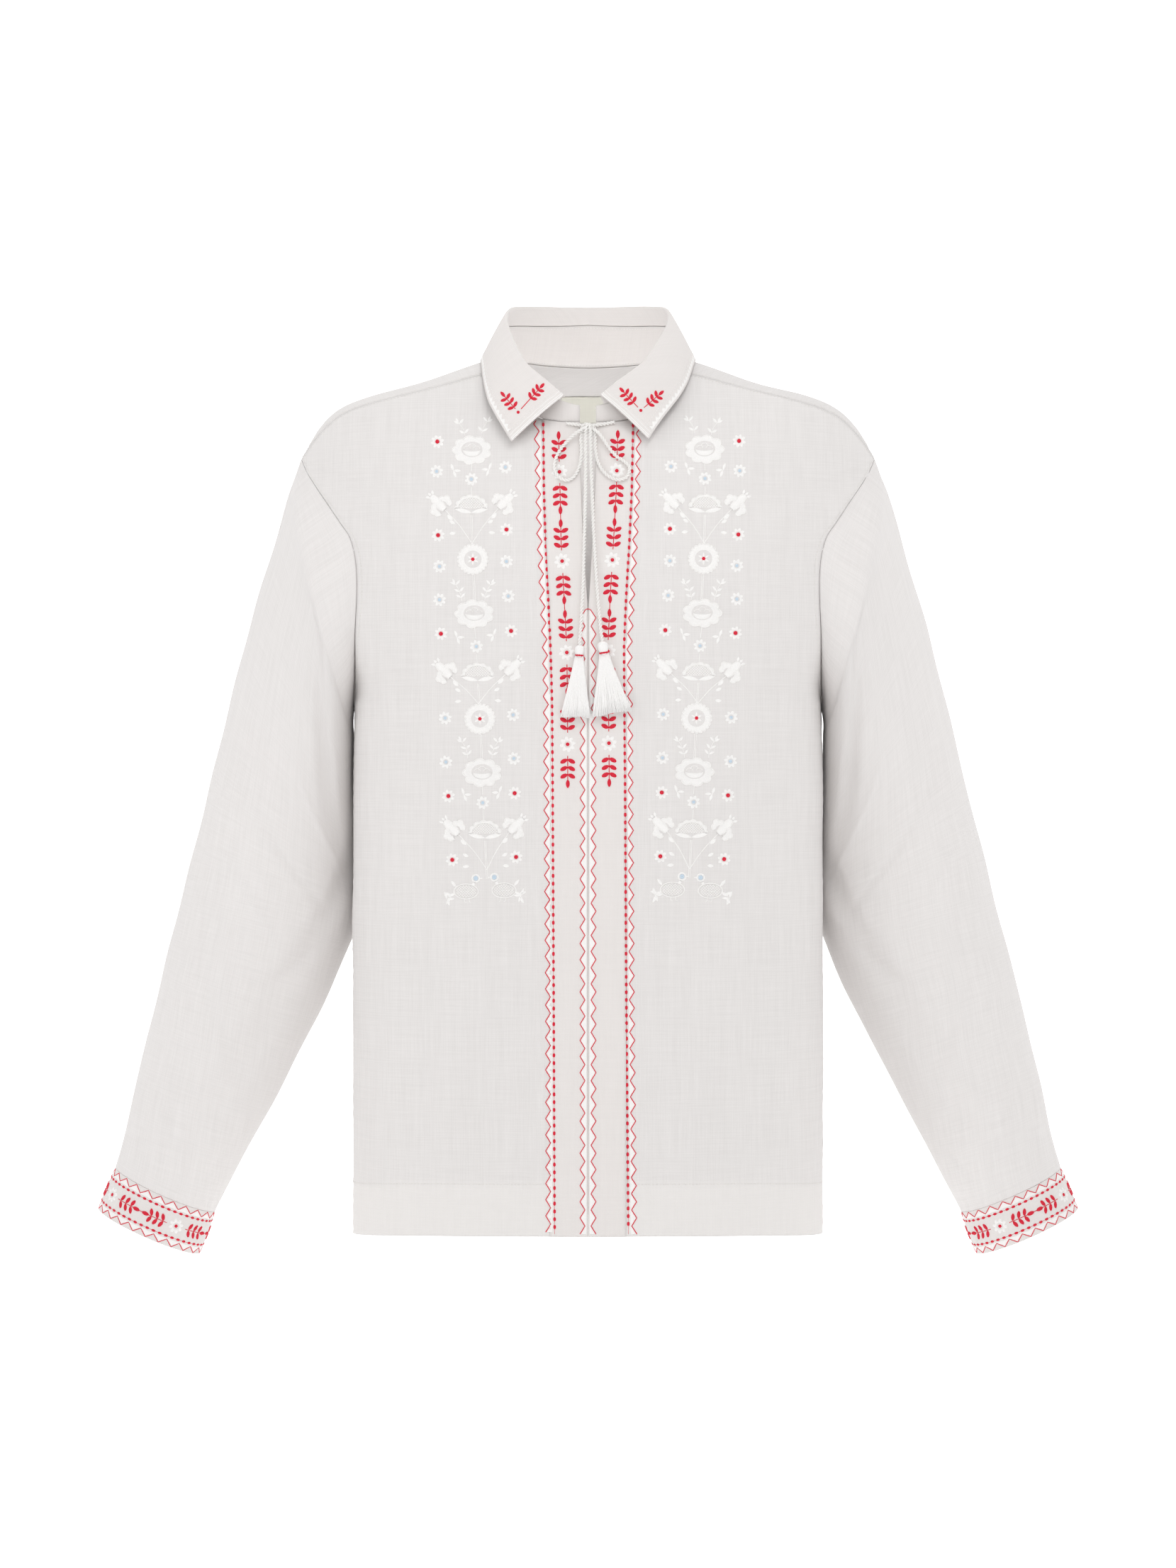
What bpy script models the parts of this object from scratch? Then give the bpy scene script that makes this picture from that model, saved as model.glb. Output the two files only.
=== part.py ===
"""An embroidered linen shirt with a turned-down collar, a front slit tied by a tasselled cord, and long
sleeves in band cuffs. It keeps the hollow form it has when it is worn.

Sizes in the tables are millimetres. The origin is midway between the shoulders, level with the points
where the neck seam crosses the shoulder line. +Z is up, the front faces -Y, and +X is the wearer's left.
"""

from math import asin, pi, radians, sin

import bmesh
import bpy
import numpy as np

MM = 0.001
UP = np.array((0.0, 0.0, 1.0))

# Driving dimensions, in millimetres
CLOTH = 1.0
CUFF_CLOTH = 1.8
SEAM_GAP = 0.6
TIP_GAP = 0.5
LAY_GAP = 0.35
BAND_WIDTH = 30.0
SLIT_TOP_GAP = 13.0
SLIT_BOTTOM_Z = -211.0
NECK_FRONT_Z = -61.0
CORD_WIDTH = 3.0
CUFF_DIP = 3.0

# The front half, from the neck seam down to the hem. Each row runs from the middle of the front round to
# the shoulder seam (rows 0 to 6), the armhole (6 to 15) or the side seam (15 on).
FRONT_COLUMNS = ("middle_z", "middle_y", "edge_x", "edge_y", "edge_z", "sweep", "boxy", "rise")
FRONT_ROWS = (
    (-61, -88, 68.0, -30, -15.0, 70, 1.00, 3.6),
    (-69, -91, 90.0, -30, -18.5, 68, 1.00, 2.9),
    (-83, -95, 129.0, -28, -28.5, 66, 1.00, 2.4),
    (-99, -99, 174.5, -24, -39.5, 66, 1.02, 2.2),
    (-112, -102, 203.0, -18, -50.0, 68, 1.04, 2.1),
    (-124, -105, 222.0, -10, -66.5, 71, 1.06, 2.1),
    (-136, -107, 236.0, 0, -84.6, 75, 1.08, 2.1),
    (-148, -109, 230.0, -20, -97.0, 65, 1.08, 2.1),
    (-158, -111, 220.5, -40, -111.5, 57, 1.08, 2.1),
    (-168, -113, 210.8, -53, -125.5, 52, 1.10, 2.1),
    (-179, -115, 201.2, -63, -140.4, 50, 1.12, 2.1),
    (-190, -116, 193.4, -69, -154.0, 49, 1.14, 2.1),
    (-208, -118, 189.2, -72, -177.0, 50, 1.16, 2.1),
    (-238, -120, 188.6, -65, -216.4, 54, 1.30, 2.1),
    (-264, -121, 189.6, -46, -250.4, 66, 1.50, 2.2),
    (-290, -121, 192.0, 0, -285.0, 90, 1.50, 2.4),
    (-362, -120, 193.0, 0, -360.0, 90, 1.50, 3.0),
    (-480, -117, 193.2, 0, -481.0, 90, 1.48, 4.0),
    (-600, -115, 193.3, 0, -603.0, 90, 1.45, 5.0),
    (-714, -113, 192.8, 0, -720.0, 90, 1.42, 5.0),
)

# The back half, row for row with the front. Its rows cross the top of the shoulder, at ridge_z, and end
# at the same shoulder seam, which lies forward of it.
BACK_COLUMNS = ("middle_z", "middle_y", "edge_x", "edge_y", "edge_z", "sweep", "ridge_z")
BACK_ROWS = (
    (-4, 64, 68.0, -30, -15.0, 112, 0.0),
    (-12, 73, 90.0, -30, -18.5, 110, -7.2),
    (-30, 85, 129.0, -28, -28.5, 106, -20.3),
    (-52, 97, 174.5, -24, -39.5, 102, -32.4),
    (-70, 104, 203.0, -18, -50.0, 98, -43.6),
    (-90, 109, 222.0, -10, -66.5, 94, -60.5),
    (-110, 113, 236.0, 0, -84.6, 89, -84.0),
    (-128, 115, 231.0, 22, -97.0, 79, -97.0),
    (-145, 117, 222.5, 42, -112.0, 70, -112.0),
    (-160, 118, 213.0, 53, -126.5, 65, -126.5),
    (-174, 119, 204.0, 60, -141.5, 61, -141.5),
    (-187, 120, 196.0, 64, -156.0, 59, -156.0),
    (-208, 121, 187.5, 65, -178.0, 58, -178.0),
    (-240, 121, 180.5, 60, -217.0, 60, -217.0),
    (-266, 120, 183.5, 41, -252.0, 69, -252.0),
    (-290, 119, 192.0, 0, -285.0, 90, -285.0),
    (-362, 117, 193.0, 0, -360.0, 90, -360.0),
    (-480, 114, 193.2, 0, -481.0, 90, -481.0),
    (-600, 112, 193.3, 0, -603.0, 90, -603.0),
    (-716, 111, 192.8, 0, -720.0, 90, -720.0),
)
SHOULDER_TIP_ROW, UNDERARM_ROW, HEM_ROW = 6, 15, 19
RIDGE_TURN = 88

# Soft folds of the body, as turns round it from the wearer's left (90 is the back), with the height of
# each end. The depth is outwards.
BODY_FOLD_COLUMNS = ("turn", "top_z", "bottom_z", "lean", "half_turn", "depth")
BODY_FOLDS = (
    (-24, -90, -330, -6, 7, -2.6),
    (-156, -90, -340, 7, 7, -2.8),
    (-48, -330, -760, 5, 9, 1.8),
    (-133, -360, -760, -4, 8, 2.0),
    (52, -120, -760, 8, 10, -3.6),
    (74, -200, -760, 3, 9, 3.0),
    (101, -160, -760, -4, 10, -3.2),
    (126, -140, -760, -7, 9, 3.2),
    (32, -330, -760, -4, 8, 2.6),
    (148, -350, -760, 5, 8, -2.4),
)

# The wearer's left sleeve as rings from the armhole to the cuff, each by the ends of its width as seen
# from the front; the first ring is the armhole itself.
SLEEVE_COLUMNS = ("outer_x", "outer_z", "inner_x", "inner_z", "middle_y", "half_depth")
SLEEVE_RINGS = (
    (243.0, -104.0, 193.9, -300.0, 3, 71),
    (251.5, -128.0, 193.4, -317.0, 10, 73),
    (272.5, -195.7, 192.3, -353.0, 24, 75),
    (294.6, -273.5, 190.7, -393.0, 35, 75),
    (314.2, -351.8, 189.5, -431.0, 42, 72),
    (334.6, -433.0, 192.6, -473.0, 42, 66),
    (354.6, -514.0, 231.5, -558.0, 36, 56),
    (372.6, -592.0, 267.8, -627.0, 28, 46),
    (383.3, -639.0, 290.8, -671.0, 24, 39),
    (390.8, -668.4, 308.4, -704.8, 22, 34),
)
CUFF_RINGS = (
    (391.3, -669.1, 308.0, -705.7, 22, 34.4),
    (398.2, -685.7, 314.4, -722.6, 21.5, 34.6),
    (405.0, -702.4, 320.9, -739.4, 21, 34.4),
)

# Soft creases of a sleeve: the ring it is centred on, its turn round the sleeve (0 outer, 90 front), how
# far it turns with each ring, and its half length in rings.
SLEEVE_FOLD_COLUMNS = ("ring", "turn", "twist", "half_length", "half_turn", "depth")
SLEEVE_FOLDS = (
    (3.2, 118, 12, 2.2, 15, -3.4),
    (5.6, 138, -16, 1.6, 14, -3.6),
    (6.6, 62, 14, 1.5, 16, -2.2),
    (7.6, 112, -10, 1.3, 17, -2.4),
    (4.4, 250, 14, 2.4, 17, -4.0),
    (6.4, 215, -12, 1.7, 15, -3.8),
    (5.2, 300, 6, 2.2, 17, 3.0),
)

# The collar from its front corner (0) to the middle of the back (100): the top of the stand as a height
# above the neck seam and a lean inwards, the fold line, and the outer edge of the fall.
STAND_COLUMNS = ("share", "height", "lean")
STAND_ROWS = ((0, 14, 0.4), (9, 19.5, 0.4), (30, 21, 1.5), (55, 24, 4), (75, 30, 5), (100, 35, 6))
FALL_COLUMNS = ("share", "fold_x", "fold_y", "fold_z", "edge_x", "edge_y", "edge_z", "bulge")
FALL_ROWS = (
    (0, 19.6, -91.6, -38.6, 61.8, -94.0, -76.4, 2.5),
    (12, 34.0, -84.0, -25.7, 72.1, -84.5, -59.0, 4.0),
    (26, 51.0, -65.0, -9.3, 80.6, -69.0, -42.6, 5.0),
    (40, 62.0, -40.0, 12.5, 84.8, -49.0, -26.8, 4.0),
    (52, 67.0, -13.0, 28.5, 87.5, -22.0, -8.5, 2.0),
    (64, 64.8, 14.0, 41.0, 87.0, 8.0, -0.5, 1.0),
    (78, 49.0, 41.0, 45.2, 73.0, 49.0, -2.5, 2.0),
    (90, 25.0, 57.0, 46.2, 40.0, 77.0, -7.0, 3.0),
    (100, 0.0, 61.5, 46.3, 0.0, 84.5, -9.0, 3.0),
)
# The fronts of the collar don't lie alike: the wearer's left point is nearer to the middle.
FALL_START_RIGHT, FALL_START_LEFT = 8.0, 2.5
LEFT_POINT_SHIFT = np.array((-13.0, 0.0, 2.0))
LEFT_CORNER_SHIFT = np.array((-9.0, 0.0, 0.4))
POINT_SHIFT_REACH = 0.6
FALL_STATIONS = (0, 5, 11, 18, 26, 34, 42, 50, 58, 66, 74, 82, 91, 100)
ROLL_RADIUS = 2.2

# The tie: a cord out of the neck seam on each side, a bow and two ends. Each point of a route is given by
# x, z and how far it stands off the cloth that it lies on.
KNOT_AT = (0.0, -66.5, 1.6)
KNOT_HALF = (5.4, 3.2, 3.9)
CORD_ROUTES = {
    "tie_right": ((-17.6, -61.6, 0.0), (-13.5, -62.2, 0.1), (-9.8, -62.8, 0.3), (-6.4, -63.4, 0.6)),
    "tie_left": ((21.4, -60.6, 0.3), (16.5, -61.6, 0.3), (11.0, -62.6, 0.3), (6.4, -63.4, 0.6)),
    "bow_right": (
        (-5.8, -67.5, 4.2), (-10.4, -70.6, 3.0), (-16.4, -76.2, 1.4), (-22.2, -83.4, 0.4),
        (-26.2, -91.8, 0.1), (-26.6, -99.4, 0.0), (-23.4, -105.6, 0.0), (-17.3, -108.3, 0.0),
        (-11.2, -105.3, 0.0), (-7.2, -97.9, 0.1), (-5.5, -89.5, 0.2), (-5.4, -80.7, 0.3), (-5.7, -72.2, 0.4),
    ),
    "bow_left": (
        (5.8, -67.5, 4.2), (10.6, -72.4, 3.0), (16.0, -80.4, 1.4), (22.2, -88.2, 0.5),
        (28.4, -92.4, 0.2), (33.2, -97.8, 0.0), (31.4, -105.0, 0.0), (24.6, -108.0, 0.0),
        (17.2, -105.4, 0.0), (11.4, -100.0, 0.1), (7.8, -92.6, 0.2), (6.0, -83.4, 0.3), (5.8, -72.2, 0.4),
    ),
    "end_right": (
        (-1.9, -71.2, 1.4), (-1.9, -91.0, 0.6), (-2.1, -120.0, 0.3), (-2.9, -152.0, 0.2),
        (-3.7, -183.0, 0.2), (-5.0, -213.8, 0.6), (-6.4, -236.6, 1.6),
    ),
    "end_left": (
        (1.9, -71.2, 1.4), (2.3, -96.7, 0.5), (3.4, -121.4, 0.3), (4.3, -146.0, 0.2),
        (6.0, -176.9, 0.2), (8.2, -207.7, 0.6), (10.6, -234.4, 1.6),
    ),
}
CORD_STEP = 8.0

TASSEL_COLUMNS = ("x", "top_z", "foot_x", "foot_z", "foot_half_width", "head_half_width")
TASSELS = {
    "tassel_right": (-6.5, -237.2, -9.9, -297.2, 11.6, 3.7),
    "tassel_left": (11.1, -235.0, 19.2, -294.9, 15.6, 4.2),
}
TASSEL_HEAD = 8.8
TASSEL_WAIST = 2.6
STRANDS_ACROSS, STRANDS_DEEP = 11, 4
STRAND_WIDTH = 1.1
SKIRT_HALF_DEPTH = 2.9

LABEL_WIDTH, LABEL_TOP_Z, LABEL_BOTTOM_Z = 45.0, -27.0, -48.0

# Rows of the panels that become edges of the solids
PANEL_ROWS = (0, 1, 2, 3, 4, 5, 5.5, 6, 7, 8, 9, 10, 11, 12, 12.5, 13, 13.5, 14, 14.5, 15, 16, 17, 18, 19)
ARMHOLE_ROWS = tuple(r for r in PANEL_ROWS if SHOULDER_TIP_ROW <= r <= UNDERARM_ROW)
SLEEVE_ROWS = (0, 0.4, 1, 2, 2.5, 3, 3.5, 4, 4.5, 5, 5.5, 6, 6.5, 7, 8, 9, 10)
FRONT_STEPS = 9
BACK_STEPS = 22

LINEN = (0.80, 0.775, 0.745)
LINEN_LINED = (0.83, 0.80, 0.77)
CORD_WHITE = (0.88, 0.87, 0.84)
LABEL_CREAM = (0.76, 0.76, 0.68)


def read(table, columns, at):
    """The rows of a table at these places, by a smooth curve through them, as named columns."""
    rows = np.array(table, float)
    at = np.clip(np.atleast_1d(np.asarray(at, float)), 0, len(rows) - 1)
    low = np.clip(np.floor(at).astype(int), 0, len(rows) - 2)
    t = (at - low)[:, None]
    before, after = np.maximum(low - 1, 0), np.minimum(low + 2, len(rows) - 1)
    p0, p1, p2, p3 = rows[before], rows[low], rows[low + 1], rows[after]
    curve = p1 + 0.5 * t * (
        p2 - p0 + t * (2 * p0 - 5 * p1 + 4 * p2 - p3 + t * (3 * (p1 - p2) + p3 - p0))
    )
    return {name: curve[:, i] for i, name in enumerate(columns)}


def read_by_share(table, columns, share):
    """Like read, at places given by the table's own share column."""
    shares = [row[0] for row in table]
    return read(table, columns, np.interp(share, shares, range(len(shares))))


def bump(distance):
    """1 at no distance and 0 from a distance of 1, with a soft shoulder."""
    return np.clip(1 - np.minimum(np.abs(distance), 1) ** 2, 0, 1) ** 2


def body_folds(points):
    """The points of the body, moved in and out by its soft folds."""
    x, y, z = points[..., 0], points[..., 1], points[..., 2]
    turn = np.degrees(np.arctan2(y, x))
    moved = np.zeros_like(x)
    for row in BODY_FOLDS:
        fold = dict(zip(BODY_FOLD_COLUMNS, row))
        share = (fold["top_z"] - z) / (fold["top_z"] - fold["bottom_z"])
        middle = fold["turn"] + fold["lean"] * (share - 0.5)
        strength = np.sin(pi * np.clip(share * 0.92, 0, 1)) * bump((turn - middle) / fold["half_turn"])
        moved += fold["depth"] * strength
    reach = np.maximum(np.hypot(x, y), 1)
    out = np.stack([x / reach, y / reach, np.zeros_like(x)], axis=-1)
    return points + out * moved[..., None]


def slit_half_gap(z):
    """Half the width of the front opening at a height: a narrow V over a seam."""
    down = np.clip((NECK_FRONT_Z - z) / (NECK_FRONT_Z - SLIT_BOTTOM_Z), 0, 1)
    return SEAM_GAP / 2 + (SLIT_TOP_GAP - SEAM_GAP) / 2 * (1 - down**1.6)


def front_section(row, start_x, turns):
    """Points of one row of the front, at these turns from its middle."""
    sweep = radians(row["sweep"])
    across = np.sin(turns) / sin(sweep)
    lift = (1 - np.cos(turns)) / (1 - np.cos(sweep))
    return np.stack(
        [
            start_x + (row["edge_x"] - start_x) * across,
            row["middle_y"] + (row["edge_y"] - row["middle_y"]) * lift ** row["boxy"],
            row["middle_z"] + (row["edge_z"] - row["middle_z"]) * across ** row["rise"],
        ],
        axis=-1,
    )


def back_section(row, turns):
    """Points of one row of the back, at these turns from its middle; a turn below 0 is on the right."""
    sweep = radians(row["sweep"])
    size = np.abs(turns)
    lift = (1 - np.cos(size)) / (1 - np.cos(sweep))
    ridge = min(radians(RIDGE_TURN), sweep)
    rise = np.clip(size / ridge, 0, 1)
    fall = np.clip((size - ridge) / max(sweep - ridge, 1e-6), 0, 1)
    to_ridge = (row["ridge_z"] - row["middle_z"]) * rise**2 * (3 - 2 * rise)
    return np.stack(
        [
            row["edge_x"] * np.sin(turns) / sin(sweep),
            row["middle_y"] + (row["edge_y"] - row["middle_y"]) * lift,
            row["middle_z"] + to_ridge + (row["edge_z"] - row["ridge_z"]) * fall**2,
        ],
        axis=-1,
    )


def rows_of(table, columns, places):
    """One dict for each place in a body table. The seams turn sharply at the shoulder tip and underarm,
    so the curve through the rows starts afresh there, and the front and back keep one shared seam."""
    corners = (0, SHOULDER_TIP_ROW, UNDERARM_ROW, HEM_ROW)
    found = []
    for place in places:
        part = min(int(np.searchsorted(corners, place, side="right")) - 1, len(corners) - 2)
        first, last = corners[part], corners[part + 1]
        values = read(table[first:last + 1], columns, place - first)
        found.append({name: float(values[name][0]) for name in columns})
    return found


def pulled_in(points, column, neighbour):
    """The grid with one of its outer columns drawn back from the seam by half the seam's gap, and by
    more at the shoulder tip, where the two walls meet at a sharp angle."""
    edge, beside = points[:, column], points[:, neighbour]
    along = np.gradient(edge, axis=0)
    along /= np.linalg.norm(along, axis=1, keepdims=True)
    inwards = beside - edge
    inwards -= (inwards * along).sum(1, keepdims=True) * along
    inwards /= np.linalg.norm(inwards, axis=1, keepdims=True)
    tip = bump((np.array(PANEL_ROWS) - SHOULDER_TIP_ROW) / 2.2)[:, None]
    points[:, column] = edge + inwards * (SEAM_GAP / 2 + TIP_GAP * tip)
    return points


def front_grid():
    """Points of the wearer's left front, rows by columns. The first three columns carry the band."""
    grid = []
    for row in rows_of(FRONT_ROWS, FRONT_COLUMNS, PANEL_ROWS):
        start = float(slit_half_gap(row["middle_z"]))
        sweep = radians(row["sweep"])
        reach = sin(sweep) / (row["edge_x"] - start)
        band = [asin(reach * BAND_WIDTH * share) for share in (0, 0.5, 1)]
        turns = np.concatenate([band, np.linspace(band[-1], sweep, FRONT_STEPS + 1)[1:]])
        grid.append(front_section(row, start, turns))
    return np.array(grid)


def back_grid():
    grid = []
    for row in rows_of(BACK_ROWS, BACK_COLUMNS, PANEL_ROWS):
        sweep = radians(row["sweep"])
        grid.append(back_section(row, np.linspace(-sweep, sweep, BACK_STEPS + 1)))
    return np.array(grid)


def mirrored(points):
    return points * np.array((-1.0, 1.0, 1.0))


def front_depth(x, z):
    """The front's y at a place seen from the front."""
    low, high = 0.0, float(HEM_ROW)
    for _ in range(30):
        middle = (low + high) / 2
        row = rows_of(FRONT_ROWS, FRONT_COLUMNS, [middle])[0]
        start = float(slit_half_gap(row["middle_z"]))
        across = min(max((abs(x) - start) / (row["edge_x"] - start), 0.0), 1.0)
        point = front_section(row, start, np.array([asin(across * sin(radians(row["sweep"])))]))[0]
        low, high = (middle, high) if point[2] > z else (low, middle)
    return float(point[1])


def grid_normals(points):
    """Unit normals of a grid of points, by its neighbours down and across."""
    down, across = np.gradient(points, axis=0), np.gradient(points, axis=1)
    normals = np.cross(down, across)
    return normals / np.linalg.norm(normals, axis=-1, keepdims=True)


def material(name, colour, roughness):
    made = bpy.data.materials.get(name) or bpy.data.materials.new(name)
    made.use_nodes = True
    shader = made.node_tree.nodes["Principled BSDF"]
    shader.inputs["Base Color"].default_value = (*colour, 1)
    shader.inputs["Roughness"].default_value = roughness
    shader.inputs["Metallic"].default_value = 0.0
    return made


def finished(obj, colour_name, colour, roughness=0.9):
    obj.data.materials.append(material(colour_name, colour, roughness))
    SHIRT.objects.link(obj)
    return obj


def loft(name, points, closed=False, flip=False):
    """An open sheet through a grid of points in millimetres, closed round its rows if it is a tube."""
    rows, columns = points.shape[:2]
    sheet = bmesh.new()
    corners = [[sheet.verts.new(p * MM) for p in row] for row in points]
    for i in range(rows - 1):
        for j in range(columns if closed else columns - 1):
            k = (j + 1) % columns
            face = [corners[i][j], corners[i][k], corners[i + 1][k], corners[i + 1][j]]
            sheet.faces.new(face[::-1] if flip else face).smooth = True
    mesh = bpy.data.meshes.new(name)
    sheet.to_mesh(mesh)
    sheet.free()
    return bpy.data.objects.new(name, mesh)


def cloth_piece(name, points, thick, colour_name, colour, closed=False, flip=False):
    """A sheet of cloth whose outer face goes through the points."""
    piece = loft(name, points, closed, flip)
    wall = piece.modifiers.new("cloth thickness", "SOLIDIFY")
    wall.thickness = thick * MM
    wall.offset = -1
    return finished(piece, colour_name, colour)


def make_fronts_and_bands():
    left = pulled_in(body_folds(front_grid()), -1, -2)
    for name, points, flip in (("left", left, True), ("right", None, False)):
        if points is None:
            points = pulled_in(body_folds(mirrored(front_grid())), -1, -2)
        cloth_piece("front_" + name, points, CLOTH, "linen", LINEN, flip=flip)
        normals = grid_normals(points) * (1 if flip else -1)
        band = (points + normals * (LAY_GAP + CLOTH))[:, :3]
        cloth_piece("band_" + name, band, CLOTH, "lined_linen", LINEN_LINED, flip=flip)


def make_back():
    points = pulled_in(body_folds(back_grid()), -1, -2)
    points = pulled_in(points, 0, 1)
    cloth_piece("back", points, CLOTH, "linen", LINEN)


def armhole(side):
    """The seam round an armhole, from the shoulder tip down the front and up the back."""
    places = np.array(ARMHOLE_ROWS, float)
    front = np.array(
        [(r["edge_x"], r["edge_y"], r["edge_z"]) for r in rows_of(FRONT_ROWS, FRONT_COLUMNS, places)]
    )
    back = np.array(
        [(r["edge_x"], r["edge_y"], r["edge_z"]) for r in rows_of(BACK_ROWS, BACK_COLUMNS, places)]
    )
    loop = np.concatenate([front, back[-2:0:-1]])
    folded = body_folds(loop * np.array((side, 1.0, 1.0))) * np.array((side, 1.0, 1.0))
    middle = folded.mean(axis=0)
    away = middle - folded
    away /= np.linalg.norm(away, axis=1, keepdims=True)
    low = np.clip((middle[2] - folded[:, 2]) / (middle[2] - folded[:, 2].min()), 0, 1)[:, None] ** 1.5
    outwards = np.array((1.0, 0.0, 0.0))
    return folded + away * SEAM_GAP * (0.75 + 1.2 * low) + outwards * (0.35 + 1.1 * low)


def ellipses(table, turns, places):
    """Rings of a tube read from a table, each a row of points at these turns."""
    rings = []
    for r in rows_of(table, SLEEVE_COLUMNS, places):
        middle = np.array(((r["outer_x"] + r["inner_x"]) / 2, r["middle_y"], (r["outer_z"] + r["inner_z"]) / 2))
        across = np.array(((r["outer_x"] - r["inner_x"]) / 2, 0, (r["outer_z"] - r["inner_z"]) / 2))
        front = np.array((0, -r["half_depth"], 0))
        rings.append(middle + np.cos(turns)[:, None] * across + np.sin(turns)[:, None] * front)
    return np.array(rings)


def sleeve_folds(points, turns, places):
    degrees = np.degrees(turns)[None, :]
    rings = np.array(places, float)[:, None]
    moved = np.zeros(points.shape[:2])
    for row in SLEEVE_FOLDS:
        fold = dict(zip(SLEEVE_FOLD_COLUMNS, row))
        middle = fold["turn"] + fold["twist"] * (rings - fold["ring"])
        away = (degrees - middle + 180) % 360 - 180
        along = bump((rings - fold["ring"]) / fold["half_length"])
        moved += fold["depth"] * along * bump(away / fold["half_turn"])
    middles = points.mean(axis=1, keepdims=True)
    out = points - middles
    out /= np.linalg.norm(out, axis=-1, keepdims=True)
    return points + out * moved[..., None]


def sleeve_grid(side):
    loop = armhole(side)
    turns = np.linspace(0, 2 * pi, len(loop), endpoint=False)
    rings = np.concatenate([loop[None], ellipses(SLEEVE_RINGS, turns, range(len(SLEEVE_RINGS)))])
    flat = read(rings.reshape(len(rings), -1), range(loop.size), SLEEVE_ROWS)
    points = np.stack([flat[i] for i in range(loop.size)], axis=1).reshape(len(SLEEVE_ROWS), -1, 3)
    points = sleeve_folds(points, turns, SLEEVE_ROWS)
    dip = np.clip((np.array(SLEEVE_ROWS) - 8) / 2, 0, 1)[:, None] * np.sin(turns)[None, :]
    points[..., 2] -= CUFF_DIP * dip
    return points


def make_sleeves():
    for name, side in (("left", 1.0), ("right", -1.0)):
        points = sleeve_grid(side) * np.array((side, 1.0, 1.0))
        cloth_piece("sleeve_" + name, points, CLOTH, "linen", LINEN, closed=True, flip=side < 0)


def make_cuffs():
    turns = np.linspace(0, 2 * pi, 2 * len(ARMHOLE_ROWS) - 2, endpoint=False)
    points = ellipses(CUFF_RINGS, turns, range(len(CUFF_RINGS)))
    points[..., 2] -= CUFF_DIP * np.sin(turns)
    for name, side in (("left", 1.0), ("right", -1.0)):
        turned = points * np.array((side, 1.0, 1.0))
        cloth_piece("cuff_" + name, turned, CUFF_CLOTH, "lined_linen", LINEN_LINED, closed=True, flip=side < 0)


def neck_seam(shares):
    """Places on the neck seam from the front opening (0) round to the middle of the back (100)."""
    front_row = rows_of(FRONT_ROWS, FRONT_COLUMNS, [0])[0]
    back_row = rows_of(BACK_ROWS, BACK_COLUMNS, [0])[0]
    start = float(slit_half_gap(front_row["middle_z"]))
    front = front_section(front_row, start, np.linspace(0, radians(front_row["sweep"]), 60))
    back = back_section(back_row, np.linspace(radians(back_row["sweep"]), 0, 100))
    path = np.concatenate([front, back[1:]])
    lengths = np.concatenate([[0], np.cumsum(np.linalg.norm(np.diff(path, axis=0), axis=1))])
    at = np.asarray(shares, float) / 100 * lengths[-1]
    return np.stack([np.interp(at, lengths, path[:, k]) for k in range(3)], axis=1)


def level_inwards(path):
    """Level unit vectors towards the middle of the neck, square to a path that runs round it."""
    along = np.gradient(path, axis=0)
    along[:, 2] = 0
    inwards = np.cross(along, UP)
    inwards /= np.linalg.norm(inwards, axis=1, keepdims=True)
    towards = np.array((0.0, -5.0, 0.0)) - path
    inwards *= np.sign((inwards * towards).sum(1, keepdims=True))
    return inwards


def stand_top(shares):
    seam = neck_seam(shares)
    rise = read_by_share(STAND_ROWS, STAND_COLUMNS, shares)
    return seam + UP * rise["height"][:, None] + level_inwards(seam) * rise["lean"][:, None]


def fall_places(start):
    """Where the collar's sections meet the stand, as shares of the neck seam."""
    return start + np.array(FALL_STATIONS) * (100 - start) / 100


def both_sides(left, right):
    """One grid from two, each from its own front to the middle of the back, across the columns."""
    return np.concatenate([mirrored(right), left[:, -2::-1]], axis=1)


def make_collar_stand():
    halves = []
    for start in (FALL_START_LEFT, FALL_START_RIGHT):
        shares = np.concatenate([[0, start / 2], fall_places(start)])
        seam, top = neck_seam(shares), stand_top(shares)
        bottom = seam + UP * SEAM_GAP * 1.8
        halves.append(np.array([top, (top + bottom) / 2, bottom]))
    cloth_piece("collar_stand", both_sides(*halves), CLOTH, "lined_linen", LINEN_LINED)


def fall_section(seat, inwards, fold, edge, bulge):
    """One cut through the collar: up from the stand, over the fold and down the fall."""
    outwards = -inwards
    inner = fold + (inwards - UP) * ROLL_RADIUS * 0.8
    outer = fold + (outwards - 0.8 * UP) * ROLL_RADIUS * 0.8
    pull = outer + (edge - outer) * 0.4 + (outwards + UP) * 0.7 * bulge
    shares = np.array((0.25, 0.5, 0.75, 1.0))[:, None]
    fall = (1 - shares) ** 2 * outer + 2 * shares * (1 - shares) * pull + shares**2 * edge
    return np.concatenate([[seat, seat * 0.4 + inner * 0.6, inner, fold, outer], fall])


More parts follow.
